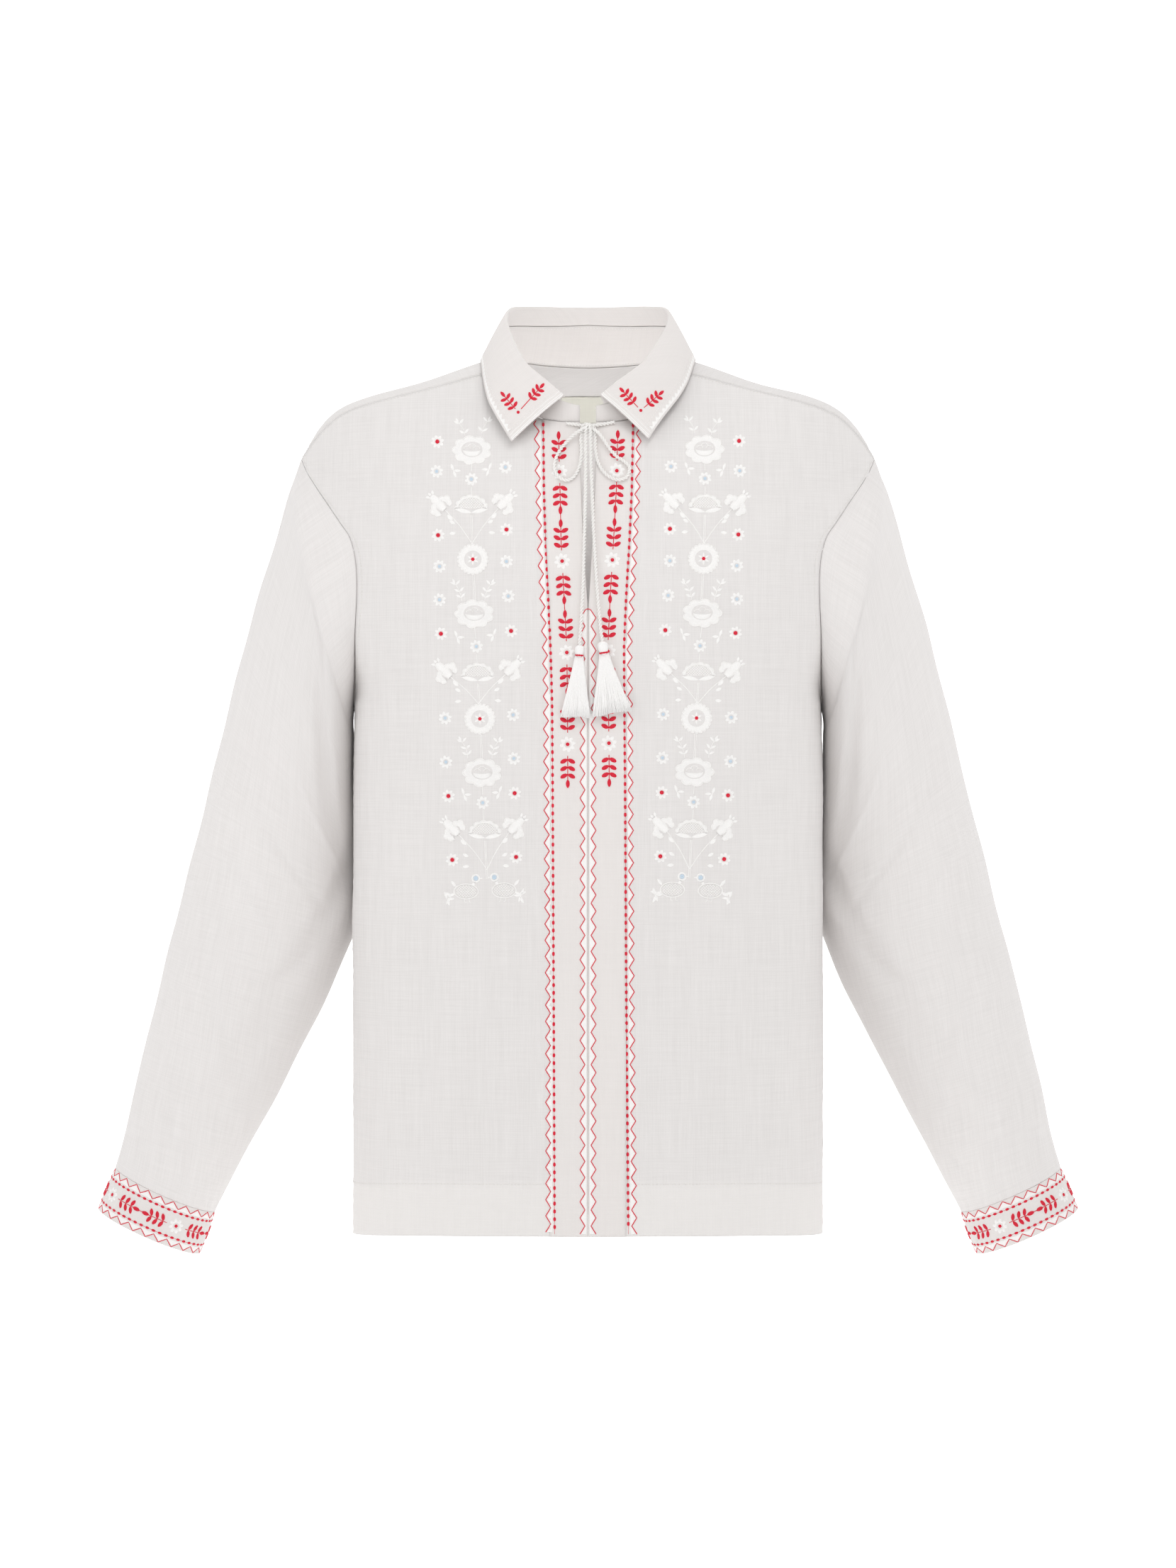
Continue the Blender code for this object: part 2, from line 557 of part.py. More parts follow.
def collar_half(side):
    """The turned-down collar from the middle of the back to one front, in sections."""
    shares = np.array(FALL_STATIONS, float)
    on_stand = fall_places(FALL_START_LEFT if side > 0 else FALL_START_RIGHT)
    top = stand_top(on_stand)
    inwards = level_inwards(neck_seam(on_stand))
    row = read_by_share(FALL_ROWS, FALL_COLUMNS, shares)
    fold = np.stack([row["fold_x"], row["fold_y"], row["fold_z"]], axis=1)
    edge = np.stack([row["edge_x"], row["edge_y"], row["edge_z"]], axis=1)
    if side > 0:
        near = bump(shares / 100 / POINT_SHIFT_REACH)[:, None]
        fold = fold + near * LEFT_CORNER_SHIFT
        edge = edge + near * LEFT_POINT_SHIFT
    seat = top + UP * SEAM_GAP * 1.6 + inwards * CLOTH
    cuts = zip(seat, inwards, fold, edge, row["bulge"])
    return np.array([fall_section(*cut) for cut in cuts]).transpose(1, 0, 2)


def make_collar():
    points = both_sides(collar_half(1.0), collar_half(-1.0))
    cloth_piece("collar", points, CLOTH, "lined_linen", LINEN_LINED)


def make_label():
    """The bare woven label inside the back of the neck."""
    heights = (LABEL_TOP_Z, (LABEL_TOP_Z + LABEL_BOTTOM_Z) / 2, LABEL_BOTTOM_Z)
    grid = back_grid()
    middle = grid[:, BACK_STEPS // 2]
    rows = []
    for z in heights:
        y = np.interp(-z, -middle[:, 2], middle[:, 1])
        inside = y - CLOTH - LAY_GAP - 1.2
        rows.append([(x, inside - 0.0006 * x * x, z) for x in np.linspace(-LABEL_WIDTH, LABEL_WIDTH, 5) / 2])
    cloth_piece("label", np.array(rows), CLOTH, "label_cloth", LABEL_CREAM, flip=False)


def on_the_front(x, z, off):
    """A place over the bands, off millimetres above where a cord lies on them."""
    return np.array((x, front_depth(x, z) - 2 * LAY_GAP - CLOTH - CORD_WIDTH / 2 - off, z))


def smooth_route(points):
    """Evenly spaced points on a smooth curve through a route's own points."""
    points = np.array(points)
    fine = read(points, range(3), np.linspace(0, len(points) - 1, 40 * len(points)))
    line = np.stack([fine[k] for k in range(3)], axis=1)
    lengths = np.concatenate([[0], np.cumsum(np.linalg.norm(np.diff(line, axis=0), axis=1))])
    at = np.linspace(0, lengths[-1], max(4, int(lengths[-1] / CORD_STEP) + 2))
    return np.stack([np.interp(at, lengths, line[:, k]) for k in range(3)], axis=1)


def make_cords():
    for name, route in CORD_ROUTES.items():
        line = smooth_route([on_the_front(*place) for place in route]) * MM
        curve = bpy.data.curves.new(name, "CURVE")
        curve.dimensions = "3D"
        curve.bevel_depth = CORD_WIDTH / 2 * MM
        curve.bevel_resolution = 2
        curve.use_fill_caps = True
        spline = curve.splines.new("POLY")
        spline.points.add(len(line) - 1)
        for point, place in zip(spline.points, line):
            point.co = (*place, 1)
        finished(bpy.data.objects.new(name, curve), "cord", CORD_WHITE, 0.6)


def make_knot():
    """The lump of the bow, squashed against the bands."""
    mesh = bpy.data.meshes.new("bow_knot")
    lump = bmesh.new()
    bmesh.ops.create_uvsphere(lump, u_segments=12, v_segments=8, radius=1)
    middle = on_the_front(*KNOT_AT)
    for vert in lump.verts:
        vert.co = [(middle[k] + vert.co[k] * KNOT_HALF[k]) * MM for k in range(3)]
    lump.to_mesh(mesh)
    lump.free()
    mesh.shade_smooth()
    finished(bpy.data.objects.new("bow_knot", mesh), "cord", CORD_WHITE, 0.6)


def tassel_rings(t, top_y):
    """The bound head of a tassel as stacked oval rings, from its top to where the threads leave it."""
    half = t["head_half_width"]
    profile = ((0, 0.35), (0.12, 0.75), (0.4, 1.0), (0.75, 0.98), (1.0, 0.82), (1.28, 0.9))
    down = np.array((t["foot_x"] - t["x"], 0.0, t["foot_z"] - t["top_z"]))
    down /= np.linalg.norm(down)
    middles = [np.array((t["x"], top_y, t["top_z"])) + down * TASSEL_HEAD * at for at, _ in profile]
    return middles, [half * wide for _, wide in profile], down


def make_tassel(name):
    """A tassel: a bound head whose underside grows into separate threads of four sides."""
    t = dict(zip(TASSEL_COLUMNS, TASSELS[name]))
    top_y = front_depth(t["x"], t["top_z"]) - 2 * LAY_GAP - CLOTH - t["head_half_width"] * 0.8 - 0.4
    middles, halves, down = tassel_rings(t, top_y)
    across = np.array((-down[2], 0.0, down[0]))
    deep = np.array((0.0, 1.0, 0.0))
    shape = bmesh.new()
    ring_cells = outline_of_grid(STRANDS_ACROSS, STRANDS_DEEP)
    rings = []
    for middle, half in zip(middles, halves):
        ring = []
        for u, v in ring_cells:
            flat = round_place(u, v)
            ring.append(shape.verts.new((middle + across * half * flat[0] + deep * half * 0.8 * flat[1]) * MM))
        rings.append(ring)
    for upper, lower in zip(rings, rings[1:]):
        for j in range(len(upper)):
            k = (j + 1) % len(upper)
            shape.faces.new((upper[j], upper[k], lower[k], lower[j])).smooth = True
    shape.faces.new(rings[0][::-1])
    cells = underside_cells(shape, rings[-1], ring_cells, middles[-1], halves[-1], across, deep)
    grow_threads(shape, cells, t, middles[-1], down, across, deep)
    bmesh.ops.recalc_face_normals(shape, faces=shape.faces)
    mesh = bpy.data.meshes.new(name)
    shape.to_mesh(mesh)
    shape.free()
    finished(bpy.data.objects.new(name, mesh), "cord", CORD_WHITE, 0.6)


def outline_of_grid(across, deep):
    """The outer corners of a grid from -1 to 1, in order round it."""
    xs = [2 * i / across - 1 for i in range(across + 1)]
    ys = [2 * i / deep - 1 for i in range(deep + 1)]
    lower = [(x, -1.0) for x in xs[:-1]]
    right = [(1.0, y) for y in ys[:-1]]
    upper = [(x, 1.0) for x in xs[:0:-1]]
    left = [(-1.0, y) for y in ys[:0:-1]]
    return lower + right + upper + left


def round_place(u, v):
    """A place of the square from -1 to 1, moved to the disc of radius 1."""
    return u * (1 - v * v / 2) ** 0.5, v * (1 - u * u / 2) ** 0.5


def underside_cells(shape, ring, ring_cells, middle, half, across, deep):
    """The head's underside as a grid of faces, one for each thread, with their places in the grid."""
    known = {(round(u, 6), round(v, 6)): vert for (u, v), vert in zip(ring_cells, ring)}
    corners = {}
    for i in range(STRANDS_ACROSS + 1):
        for j in range(STRANDS_DEEP + 1):
            u, v = 2 * i / STRANDS_ACROSS - 1, 2 * j / STRANDS_DEEP - 1
            flat = round_place(u, v)
            place = (middle + across * half * flat[0] + deep * half * 0.8 * flat[1]) * MM
            corners[i, j] = known.get((round(u, 6), round(v, 6))) or shape.verts.new(place)
    cells = []
    for i in range(STRANDS_ACROSS):
        for j in range(STRANDS_DEEP):
            face = shape.faces.new((corners[i, j], corners[i, j + 1], corners[i + 1, j + 1], corners[i + 1, j]))
            cells.append((face, (2 * i + 1) / STRANDS_ACROSS - 1, (2 * j + 1) / STRANDS_DEEP - 1))
    return cells


def grow_threads(shape, cells, t, middle, down, across, deep):
    """A thread out of each cell of the underside, spreading to the foot of the skirt."""
    long = np.linalg.norm(np.array((t["foot_x"], 0, t["foot_z"])) - middle * np.array((1, 0, 1)))
    for number, (face, u, v) in enumerate(cells):
        bmesh.ops.inset_individual(shape, faces=[face], thickness=0.07 * MM, depth=0)
        uneven = 1 + 0.018 * sin(number * 2.4)
        for share, wide in ((0.35, 0.75), (1.0, 1.0)):
            grown = bmesh.ops.extrude_discrete_faces(shape, faces=[face])["faces"][0]
            spread = t["foot_half_width"] * u * share**1.15 + t["head_half_width"] * 0.85 * u * (1 - share)
            depth = SKIRT_HALF_DEPTH * v * (0.35 + 0.65 * share)
            centre = middle + down * long * share * uneven + across * spread + deep * depth
            centre[1] -= 0.6 * share
            half = STRAND_WIDTH / 2 * wide
            corners = sorted(grown.verts, key=lambda vert: turn_of(vert, grown, across, deep))
            for vert, (a, b) in zip(corners, ((-1, -1), (1, -1), (1, 1), (-1, 1))):
                vert.co = (centre + across * half * a + deep * half * 0.8 * b) * MM
            face = grown


def turn_of(vert, face, across, deep):
    """The turn of a corner round its face, from the corner at the low end of both directions."""
    away = np.array(vert.co - face.calc_center_median())
    return (np.arctan2(away @ deep, away @ across) + pi + 1e-6) % (2 * pi)


def clear_scene():
    for obj in list(bpy.data.objects):
        bpy.data.objects.remove(obj)


clear_scene()
SHIRT = bpy.data.collections.new("embroidered shirt")
bpy.context.scene.collection.children.link(SHIRT)
make_fronts_and_bands()
make_back()
make_sleeves()
make_cuffs()
make_collar_stand()
make_collar()
make_label()
make_cords()
make_knot()
for tassel in TASSELS:
    make_tassel(tassel)
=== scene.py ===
# %% [markdown]
# # An embroidered linen shirt, tied with a tasselled cord
# The shirt keeps the hollow form it has when it is worn. Its solids come from the CAD model, which gives
# every piece its place and size. This file dresses them: thin cloth, cords, sewing and embroidery.
# The model is loaded first, so that nothing here can drift away from it.
# %% Load the frame
from collections import namedtuple
from math import asin, atan2, cos, pi, radians, sin

import bpy
import numpy as np
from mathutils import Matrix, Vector
from mathutils.bvhtree import BVHTree


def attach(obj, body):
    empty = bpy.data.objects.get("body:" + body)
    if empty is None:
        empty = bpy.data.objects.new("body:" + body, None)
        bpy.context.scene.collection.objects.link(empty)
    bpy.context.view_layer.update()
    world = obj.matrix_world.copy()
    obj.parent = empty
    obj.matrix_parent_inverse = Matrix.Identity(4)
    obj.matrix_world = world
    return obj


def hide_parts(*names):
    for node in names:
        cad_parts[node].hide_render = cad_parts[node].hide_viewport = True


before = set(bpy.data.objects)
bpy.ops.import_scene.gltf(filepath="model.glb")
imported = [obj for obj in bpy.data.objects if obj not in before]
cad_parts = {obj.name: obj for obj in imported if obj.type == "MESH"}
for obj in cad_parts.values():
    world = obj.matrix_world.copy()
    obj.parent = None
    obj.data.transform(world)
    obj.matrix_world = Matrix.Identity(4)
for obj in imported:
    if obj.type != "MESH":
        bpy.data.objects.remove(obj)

MM = 0.001
UP = np.array((0.0, 0.0, 1.0))
SIDES = {1.0: "left", -1.0: "right"}
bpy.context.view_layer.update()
print("CAD nodes:", len(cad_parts))

# %% [markdown]
# ## Camera
# The photograph was taken from straight ahead, with a long lens. A long lens keeps the sleeves and the
# body at nearly one scale, so the camera stands 4 m away and the lens follows from the picture's height.
# %% Set up the camera
PHOTO_WIDTH, PHOTO_HEIGHT = 1659, 2212
FOCAL = 6856
EYE = Vector((0, -4.0, -0.3518))
bpy.ops.object.camera_add(location=EYE, rotation=(pi / 2, 0, 0))
camera = bpy.context.object
camera.data.lens = FOCAL / PHOTO_HEIGHT * camera.data.sensor_width
bpy.context.scene.camera = camera
print("lens", round(camera.data.lens, 1), "mm")


# %% [markdown]
# ## Arithmetic for materials
# A finish is a node tree, and a weave or a thread is mostly arithmetic on a place. Wiring each sum by
# hand hides that, so one small class wraps a socket and makes the Math nodes when it is added or
# multiplied, and another makes every other node.
# %% Sockets that can be used in sums
def sums(operation, swapped=False):
    """A method that makes one Math node."""
    return lambda value, *others: value.paint.node(
        "ShaderNodeMath", {"operation": operation}, *((*others, value) if swapped else (value, *others))
    )


class Value:
    """A socket of a node, used in an expression."""

    def __init__(self, paint, socket):
        self.paint, self.socket = paint, socket

    __add__ = __radd__ = sums("ADD")
    __mul__ = __rmul__ = sums("MULTIPLY")
    __sub__, __rsub__ = sums("SUBTRACT"), sums("SUBTRACT", swapped=True)
    __abs__, sine, at_least = sums("ABSOLUTE"), sums("SINE"), sums("MAXIMUM")


class Paint:
    """A node tree, and the shader that a finish feeds."""

    def __init__(self, tree):
        self.tree, self.shader = tree, tree.nodes.get("Principled BSDF")

    def put(self, socket, value):
        if isinstance(value, Value):
            self.tree.links.new(value.socket, socket)
        else:
            socket.default_value = value

    def node(self, kind, settings, *values, out=0, **named):
        made = self.tree.nodes.new(kind)
        for name, setting in settings.items():
            setattr(made, name, setting)
        for socket, value in (*zip(made.inputs, values), *((made.inputs[k], v) for k, v in named.items())):
            self.put(socket, value)
        return Value(self, made.outputs[out])

    def mix(self, share, first, second):
        mixed = self.node("ShaderNodeMix", {"data_type": "RGBA"}, share, out=2)
        for place, value in ((6, first), (7, second)):
            self.put(mixed.socket.node.inputs[place], value if isinstance(value, Value) else (*value, 1))
        return mixed

    def join(self, x, y, z):
        return self.node("ShaderNodeCombineXYZ", {}, x, y, z)

    def split(self, place):
        first = self.node("ShaderNodeSeparateXYZ", {}, place)
        return [Value(self, socket) for socket in first.socket.node.outputs]

    def mark(self, name):
        """A number that a mesh carries at its points."""
        return self.node("ShaderNodeAttribute", {"attribute_name": name}, out="Fac")

    def noise(self, place, scale, detail=2.0, rough=0.5):
        return self.node("ShaderNodeTexNoise", {}, Vector=place, Scale=scale, Detail=detail, Roughness=rough)

    def feed(self, **values):
        """Links or numbers into the shader's sockets, whose names have _ for each space here."""
        for name, value in values.items():
            self.put(self.shader.inputs[name.replace("_", " ")], value)

    def relief(self, strength, distance, height):
        bump_node = self.node("ShaderNodeBump", {}, Strength=strength, Distance=distance, Height=height)
        self.feed(Normal=bump_node)


def new_finish(name, **constants):
    made = bpy.data.materials.new(name)
    made.use_nodes = True
    paint = Paint(made.node_tree)
    paint.feed(**constants)
    return made, paint


# %% [markdown]
# ## Light, air and floor
# A product photograph of white cloth is lit from all round, with a little more from one side and from
# above, so the stitches show but nothing is dark. Here the world does part of that: it is pure white just
# behind the shirt and bright at the sides. Large soft lamps stand at the upper left and above, a smaller
# one hangs before the neck, where the picture is brightest, and a very small one inside the collar does
# what the stylist's second shot does for a ghost form.
# %% Set up the studio
world = bpy.data.worlds.new("studio")
bpy.context.scene.world = world
world.use_nodes = True
air = Paint(world.node_tree)
side, depth, height = air.split(air.node("ShaderNodeTexCoord", {}, out="Generated"))
WHITE_FROM = 0.965
glow = 0.60 + 0.24 * depth + 0.24 * abs(side) + 0.03 * side + 0.27 * height
glow = glow + (depth.at_least(WHITE_FROM) - WHITE_FROM) * 25
air.put(world.node_tree.nodes["Background"].inputs[0], air.join(glow, glow, glow))

# Each is a square soft box: its place, what it looks at, its size and its power.
LAMPS = (
    ("neck_soft_box", (0, -0.9, 0.3), (0, -0.1, -0.1), 0.3, 0.8),
    ("side_soft_box", (-2.3, -1.5, 0.9), (0, 0, -0.35), 0.9, 7),
    ("top_soft_box", (0.5, -1.5, 1.9), (0, 0, -0.2), 1.2, 12),
    ("collar_fill", (0, -0.035, -0.105), (0, 0.07, -0.02), 0.07, 0.12),
)
for name, place, aim, size, power in LAMPS:
    bpy.ops.object.light_add(type="AREA", location=place)
    lamp = bpy.context.object
    lamp.name = name
    lamp.rotation_euler = (Vector(aim) - Vector(place)).to_track_quat("-Z", "Y").to_euler()
    lamp.data.size, lamp.data.energy = size, power
    lamp.visible_camera = False

bpy.ops.mesh.primitive_plane_add(size=14, location=(0, 0, -1.45))
floor = bpy.context.object
floor.name = "studio_floor"
paper, _ = new_finish(
    "studio_paper", Base_Color=(0.86, 0.86, 0.86, 1), Roughness=0.95, Emission_Color=(1, 1, 1, 1),
    Emission_Strength=0.4,
)
floor.data.materials.append(paper)


# %% [markdown]
# ## Lines, grids and tables
# A line is an array of points, and a piece of cloth is a grid of them. A table holds the shirt's measures
# and is read through a smooth curve, so it gives as fine a cloth as the picture needs.
# %% Helpers for lines and grids
def unit(vectors):
    """The same directions, one long."""
    return vectors / np.maximum(np.linalg.norm(vectors, axis=-1, keepdims=True), 1e-9)


def spots(*columns):
    """Points from their coordinates, any of which may be one number for all."""
    return np.stack(np.broadcast_arrays(*columns), axis=-1)


def run_along(line):
    """How far along its line each point lies."""
    return np.concatenate([[0], np.cumsum(np.linalg.norm(np.diff(line, axis=0), axis=1))])


def at_lengths(line, lengths, at):
    return np.stack([np.interp(at, lengths, line[:, k]) for k in range(line.shape[1])], axis=1)


def evenly(points, step):
    """Points an even step apart along a line of points."""
    lengths = run_along(points)
    return at_lengths(points, lengths, np.linspace(0, lengths[-1], max(3, int(round(lengths[-1] / step)) + 1)))


def directions(line):
    return unit(np.gradient(line, axis=0))


def bump(distance):
    """1 at no distance and 0 from a distance of 1, with a soft shoulder."""
    return np.clip(1 - np.minimum(np.abs(distance), 1) ** 2, 0, 1) ** 2


def curve_through(points, at):
    """Places on a smooth curve through points of any shape, by their number along it."""
    points = np.asarray(points, float)
    rows = points.reshape(len(points), -1)
    at = np.clip(np.atleast_1d(np.asarray(at, float)), 0, len(rows) - 1)
    low = np.clip(np.floor(at).astype(int), 0, len(rows) - 2)
    t = (at - low)[:, None]
    p0, p1, p2, p3 = (rows[np.clip(low + k, 0, len(rows) - 1)] for k in (-1, 0, 1, 2))
    curve = p1 + 0.5 * t * (
        p2 - p0 + t * (2 * p0 - 5 * p1 + 4 * p2 - p3 + t * (3 * (p1 - p2) + p3 - p0))
    )
    return curve.reshape(-1, *points.shape[1:])


def grid_corners(rows, columns, closed=False, flip=False):
    """The row and column of each corner of each face. On a tube the last column's next is the first."""
    i, j = np.mgrid[:rows - 1, :columns if closed else columns - 1].reshape(2, -1)
    corners = np.stack([spots(i, j), spots(i, j + 1), spots(i + 1, j + 1), spots(i + 1, j)], axis=1)
    return corners[:, ::-1] if flip else corners


def grid_faces(rows, columns, closed=False, flip=False, ring=False):
    """The faces of a grid. In a ring the last row's next is the first."""
    corners = grid_corners(rows + ring, columns, closed, flip)
    return (corners[..., 0] % rows * columns + corners[..., 1] % columns).tolist()


def tube_faces(count, around, ring=False):
    """The faces of a tube through rings of points, with its ends closed."""
    ends = [list(range(around))[::-1], [(count - 1) * around + j for j in range(around)]]
    return grid_faces(count, around, True, ring=ring) + ([] if ring else ends)


def renumbered(faces, start):
    return [[start + corner for corner in face] for face in faces]


def crosswise(grid):
    return tuple(part.transpose(1, 0, 2) for part in grid)


class Table:
    """Rows of numbers under named columns, read by a smooth curve through them."""

    def __init__(self, columns, *rows):
        self.row, self.rows = namedtuple("Row", columns), np.array(rows, float)

    def by_share(self, shares):
        """The columns where the first of them, a share in per cent, has these values."""
        at = np.interp(shares, self.rows[:, 0], range(len(self.rows)))
        return self.row(*curve_through(self.rows, at).T)

    def cuts(self, places):
        """One row for each place down the body, the curve starting afresh at the corners."""
        found = []
        for place in places:
            part = min(int(np.searchsorted(CORNER_ROWS, place, side="right")) - 1, len(CORNER_ROWS) - 2)
            first, last = CORNER_ROWS[part:part + 2]
            values = curve_through(self.rows[first:last + 1], place - first)[0]
            found.append(self.row(*values.tolist()))
        return found


# %% [markdown]
# ## The shirt's measures
# The same tables as in the CAD model, in millimetres. Half the front and half the back are rows from the
# neck down to the hem, a sleeve is a stack of rings, and the collar is a fan of cuts round the neck. The
# front and the back meet in the shoulder and side seams, where the curve starts afresh, because the cloth
# turns a corner there.
# %% Tables of the body
CLOTH, BAND_WIDTH, LAY_GAP, SEAM_GAP, CORD_WIDTH = 1.0, 30.0, 0.35, 0.6, 3.0
SLIT_TOP_GAP, SLIT_BOTTOM_Z, NECK_FRONT_Z = 13.0, -211.0, -61.0
SHOULDER_TIP_ROW, UNDERARM_ROW, HEM_ROW = 6, 15, 19
CORNER_ROWS = (0, SHOULDER_TIP_ROW, UNDERARM_ROW, HEM_ROW)
RIDGE_TURN = 88
FRONT = Table(
    "middle_z middle_y edge_x edge_y edge_z sweep boxy rise",
    (-61, -88, 68.0, -30, -15.0, 70, 1.00, 3.6),
    (-69, -91, 90.0, -30, -18.5, 68, 1.00, 2.9),
    (-83, -95, 129.0, -28, -28.5, 66, 1.00, 2.4),
    (-99, -99, 174.5, -24, -39.5, 66, 1.02, 2.2),
    (-112, -102, 203.0, -18, -50.0, 68, 1.04, 2.1),
    (-124, -105, 222.0, -10, -66.5, 71, 1.06, 2.1),
    (-136, -107, 236.0, 0, -84.6, 75, 1.08, 2.1),
    (-148, -109, 230.0, -20, -97.0, 65, 1.08, 2.1),
    (-158, -111, 220.5, -40, -111.5, 57, 1.08, 2.1),
    (-168, -113, 210.8, -53, -125.5, 52, 1.10, 2.1),
    (-179, -115, 201.2, -63, -140.4, 50, 1.12, 2.1),
    (-190, -116, 193.4, -69, -154.0, 49, 1.14, 2.1),
    (-208, -118, 189.2, -72, -177.0, 50, 1.16, 2.1),
    (-238, -120, 188.6, -65, -216.4, 54, 1.30, 2.1),
    (-264, -121, 189.6, -46, -250.4, 66, 1.50, 2.2),
    (-290, -121, 192.0, 0, -285.0, 90, 1.50, 2.4),
    (-362, -120, 193.0, 0, -360.0, 90, 1.50, 3.0),
    (-480, -117, 193.2, 0, -481.0, 90, 1.48, 4.0),
    (-600, -115, 193.3, 0, -603.0, 90, 1.45, 5.0),
    (-714, -113, 192.8, 0, -720.0, 90, 1.42, 5.0),
)
BACK = Table(
    "middle_z middle_y edge_x edge_y edge_z sweep ridge_z",
    (-4, 64, 68.0, -30, -15.0, 112, 0.0),
    (-12, 73, 90.0, -30, -18.5, 110, -7.2),
    (-30, 85, 129.0, -28, -28.5, 106, -20.3),
    (-52, 97, 174.5, -24, -39.5, 102, -32.4),
    (-70, 104, 203.0, -18, -50.0, 98, -43.6),
    (-90, 109, 222.0, -10, -66.5, 94, -60.5),
    (-110, 113, 236.0, 0, -84.6, 89, -84.0),
    (-128, 115, 231.0, 22, -97.0, 79, -97.0),
    (-145, 117, 222.5, 42, -112.0, 70, -112.0),
    (-160, 118, 213.0, 53, -126.5, 65, -126.5),
    (-174, 119, 204.0, 60, -141.5, 61, -141.5),
    (-187, 120, 196.0, 64, -156.0, 59, -156.0),
    (-208, 121, 187.5, 65, -178.0, 58, -178.0),
    (-240, 121, 180.5, 60, -217.0, 60, -217.0),
    (-266, 120, 183.5, 41, -252.0, 69, -252.0),
    (-290, 119, 192.0, 0, -285.0, 90, -285.0),
    (-362, 117, 193.0, 0, -360.0, 90, -360.0),
    (-480, 114, 193.2, 0, -481.0, 90, -481.0),
    (-600, 112, 193.3, 0, -603.0, 90, -603.0),
    (-716, 111, 192.8, 0, -720.0, 90, -720.0),
)
# Each fold's turn about the body, its top and bottom z, lean, half its width in degrees, and its depth.
BODY_FOLDS = (
    (-24, -90, -330, -6, 7, -2.6),
    (-156, -90, -340, 7, 7, -2.8),
    (-48, -330, -760, 5, 9, 1.8),
    (-133, -360, -760, -4, 8, 2.0),
    (52, -120, -760, 8, 10, -3.6),
    (74, -200, -760, 3, 9, 3.0),
    (101, -160, -760, -4, 10, -3.2),
    (126, -140, -760, -7, 9, 3.2),
    (32, -330, -760, -4, 8, 2.6),
    (148, -350, -760, 5, 8, -2.4),
)

# %% Tables of the sleeves, the cuffs and the collar
# Each ring's outer x and z, inner x and z, the y of its middle, and half its depth.
SLEEVE_RINGS = (
    (243.0, -104.0, 193.9, -300.0, 3, 71),
    (251.5, -128.0, 193.4, -317.0, 10, 73),
    (272.5, -195.7, 192.3, -353.0, 24, 75),
    (294.6, -273.5, 190.7, -393.0, 35, 75),
    (314.2, -351.8, 189.5, -431.0, 42, 72),
    (334.6, -433.0, 192.6, -473.0, 42, 66),
    (354.6, -514.0, 231.5, -558.0, 36, 56),
    (372.6, -592.0, 267.8, -627.0, 28, 46),
    (383.3, -639.0, 290.8, -671.0, 24, 39),
    (390.8, -668.4, 308.4, -704.8, 22, 34),
)
CUFF_RINGS = (
    (391.3, -669.1, 308.0, -705.7, 22, 34.4),
    (398.2, -685.7, 314.4, -722.6, 21.5, 34.6),
    (405.0, -702.4, 320.9, -739.4, 21, 34.4),
)
CUFF_DIP = 3.0
# Each fold's ring and turn, how it twists, half its length in rings, half its width in degrees, its depth.
SLEEVE_FOLDS = (
    (3.2, 118, 12, 2.2, 15, -3.4),
    (5.6, 138, -16, 1.6, 14, -3.6),
    (6.6, 62, 14, 1.5, 16, -2.2),
    (7.6, 112, -10, 1.3, 17, -2.4),
    (4.4, 250, 14, 2.4, 17, -4.0),
    (6.4, 215, -12, 1.7, 15, -3.8),
    (5.2, 300, 6, 2.2, 17, 3.0),
)
SLEEVE_CREASES = (
    (5.3, 96, 62, 0.9, 7, -1.5), (5.9, 74, 70, 0.8, 7, 1.2), (6.5, 120, -58, 0.8, 7, -1.4),
    (7.1, 82, 64, 0.7, 7, -1.2), (7.7, 104, -60, 0.7, 8, 1.1), (8.3, 66, 52, 0.6, 8, -1.0),
    (4.5, 118, 44, 0.9, 7, 1.1), (3.4, 84, -30, 1.1, 8, -0.9), (2.3, 104, 30, 1.1, 8, 1.0),
    (5.6, 262, 66, 0.9, 8, -1.8), (6.4, 286, -60, 0.8, 8, 1.5), (7.3, 248, 60, 0.8, 8, -1.5),
    (8.9, 92, 20, 0.8, 6, 0.9), (8.9, 132, -18, 0.8, 6, -0.9), (8.8, 40, 16, 0.8, 6, 0.8),
)
STAND = Table(
    "share height lean", (0, 14, 0.4), (9, 19.5, 0.4), (30, 21, 1.5), (55, 24, 4), (75, 30, 5), (100, 35, 6),
)
FALL = Table(
    "share fold_x fold_y fold_z edge_x edge_y edge_z bulge",
    (0, 19.6, -91.6, -38.6, 61.8, -94.0, -76.4, 2.5),
    (12, 34.0, -84.0, -25.7, 72.1, -84.5, -59.0, 4.0),
    (26, 51.0, -65.0, -9.3, 80.6, -69.0, -42.6, 5.0),
    (40, 62.0, -40.0, 12.5, 84.8, -49.0, -26.8, 4.0),
    (52, 67.0, -13.0, 28.5, 87.5, -22.0, -8.5, 2.0),
    (64, 64.8, 14.0, 41.0, 87.0, 8.0, -0.5, 1.0),
    (78, 49.0, 41.0, 45.2, 73.0, 49.0, -2.5, 2.0),
    (90, 25.0, 57.0, 46.2, 40.0, 77.0, -7.0, 3.0),
    (100, 0.0, 61.5, 46.3, 0.0, 84.5, -9.0, 3.0),
)
FALL_START = {1.0: 2.5, -1.0: 8.0}
LEFT_POINT_SHIFT = np.array((-13.0, 0.0, 2.0))
LEFT_CORNER_SHIFT = np.array((-9.0, 0.0, 0.4))
POINT_SHIFT_REACH = 0.6
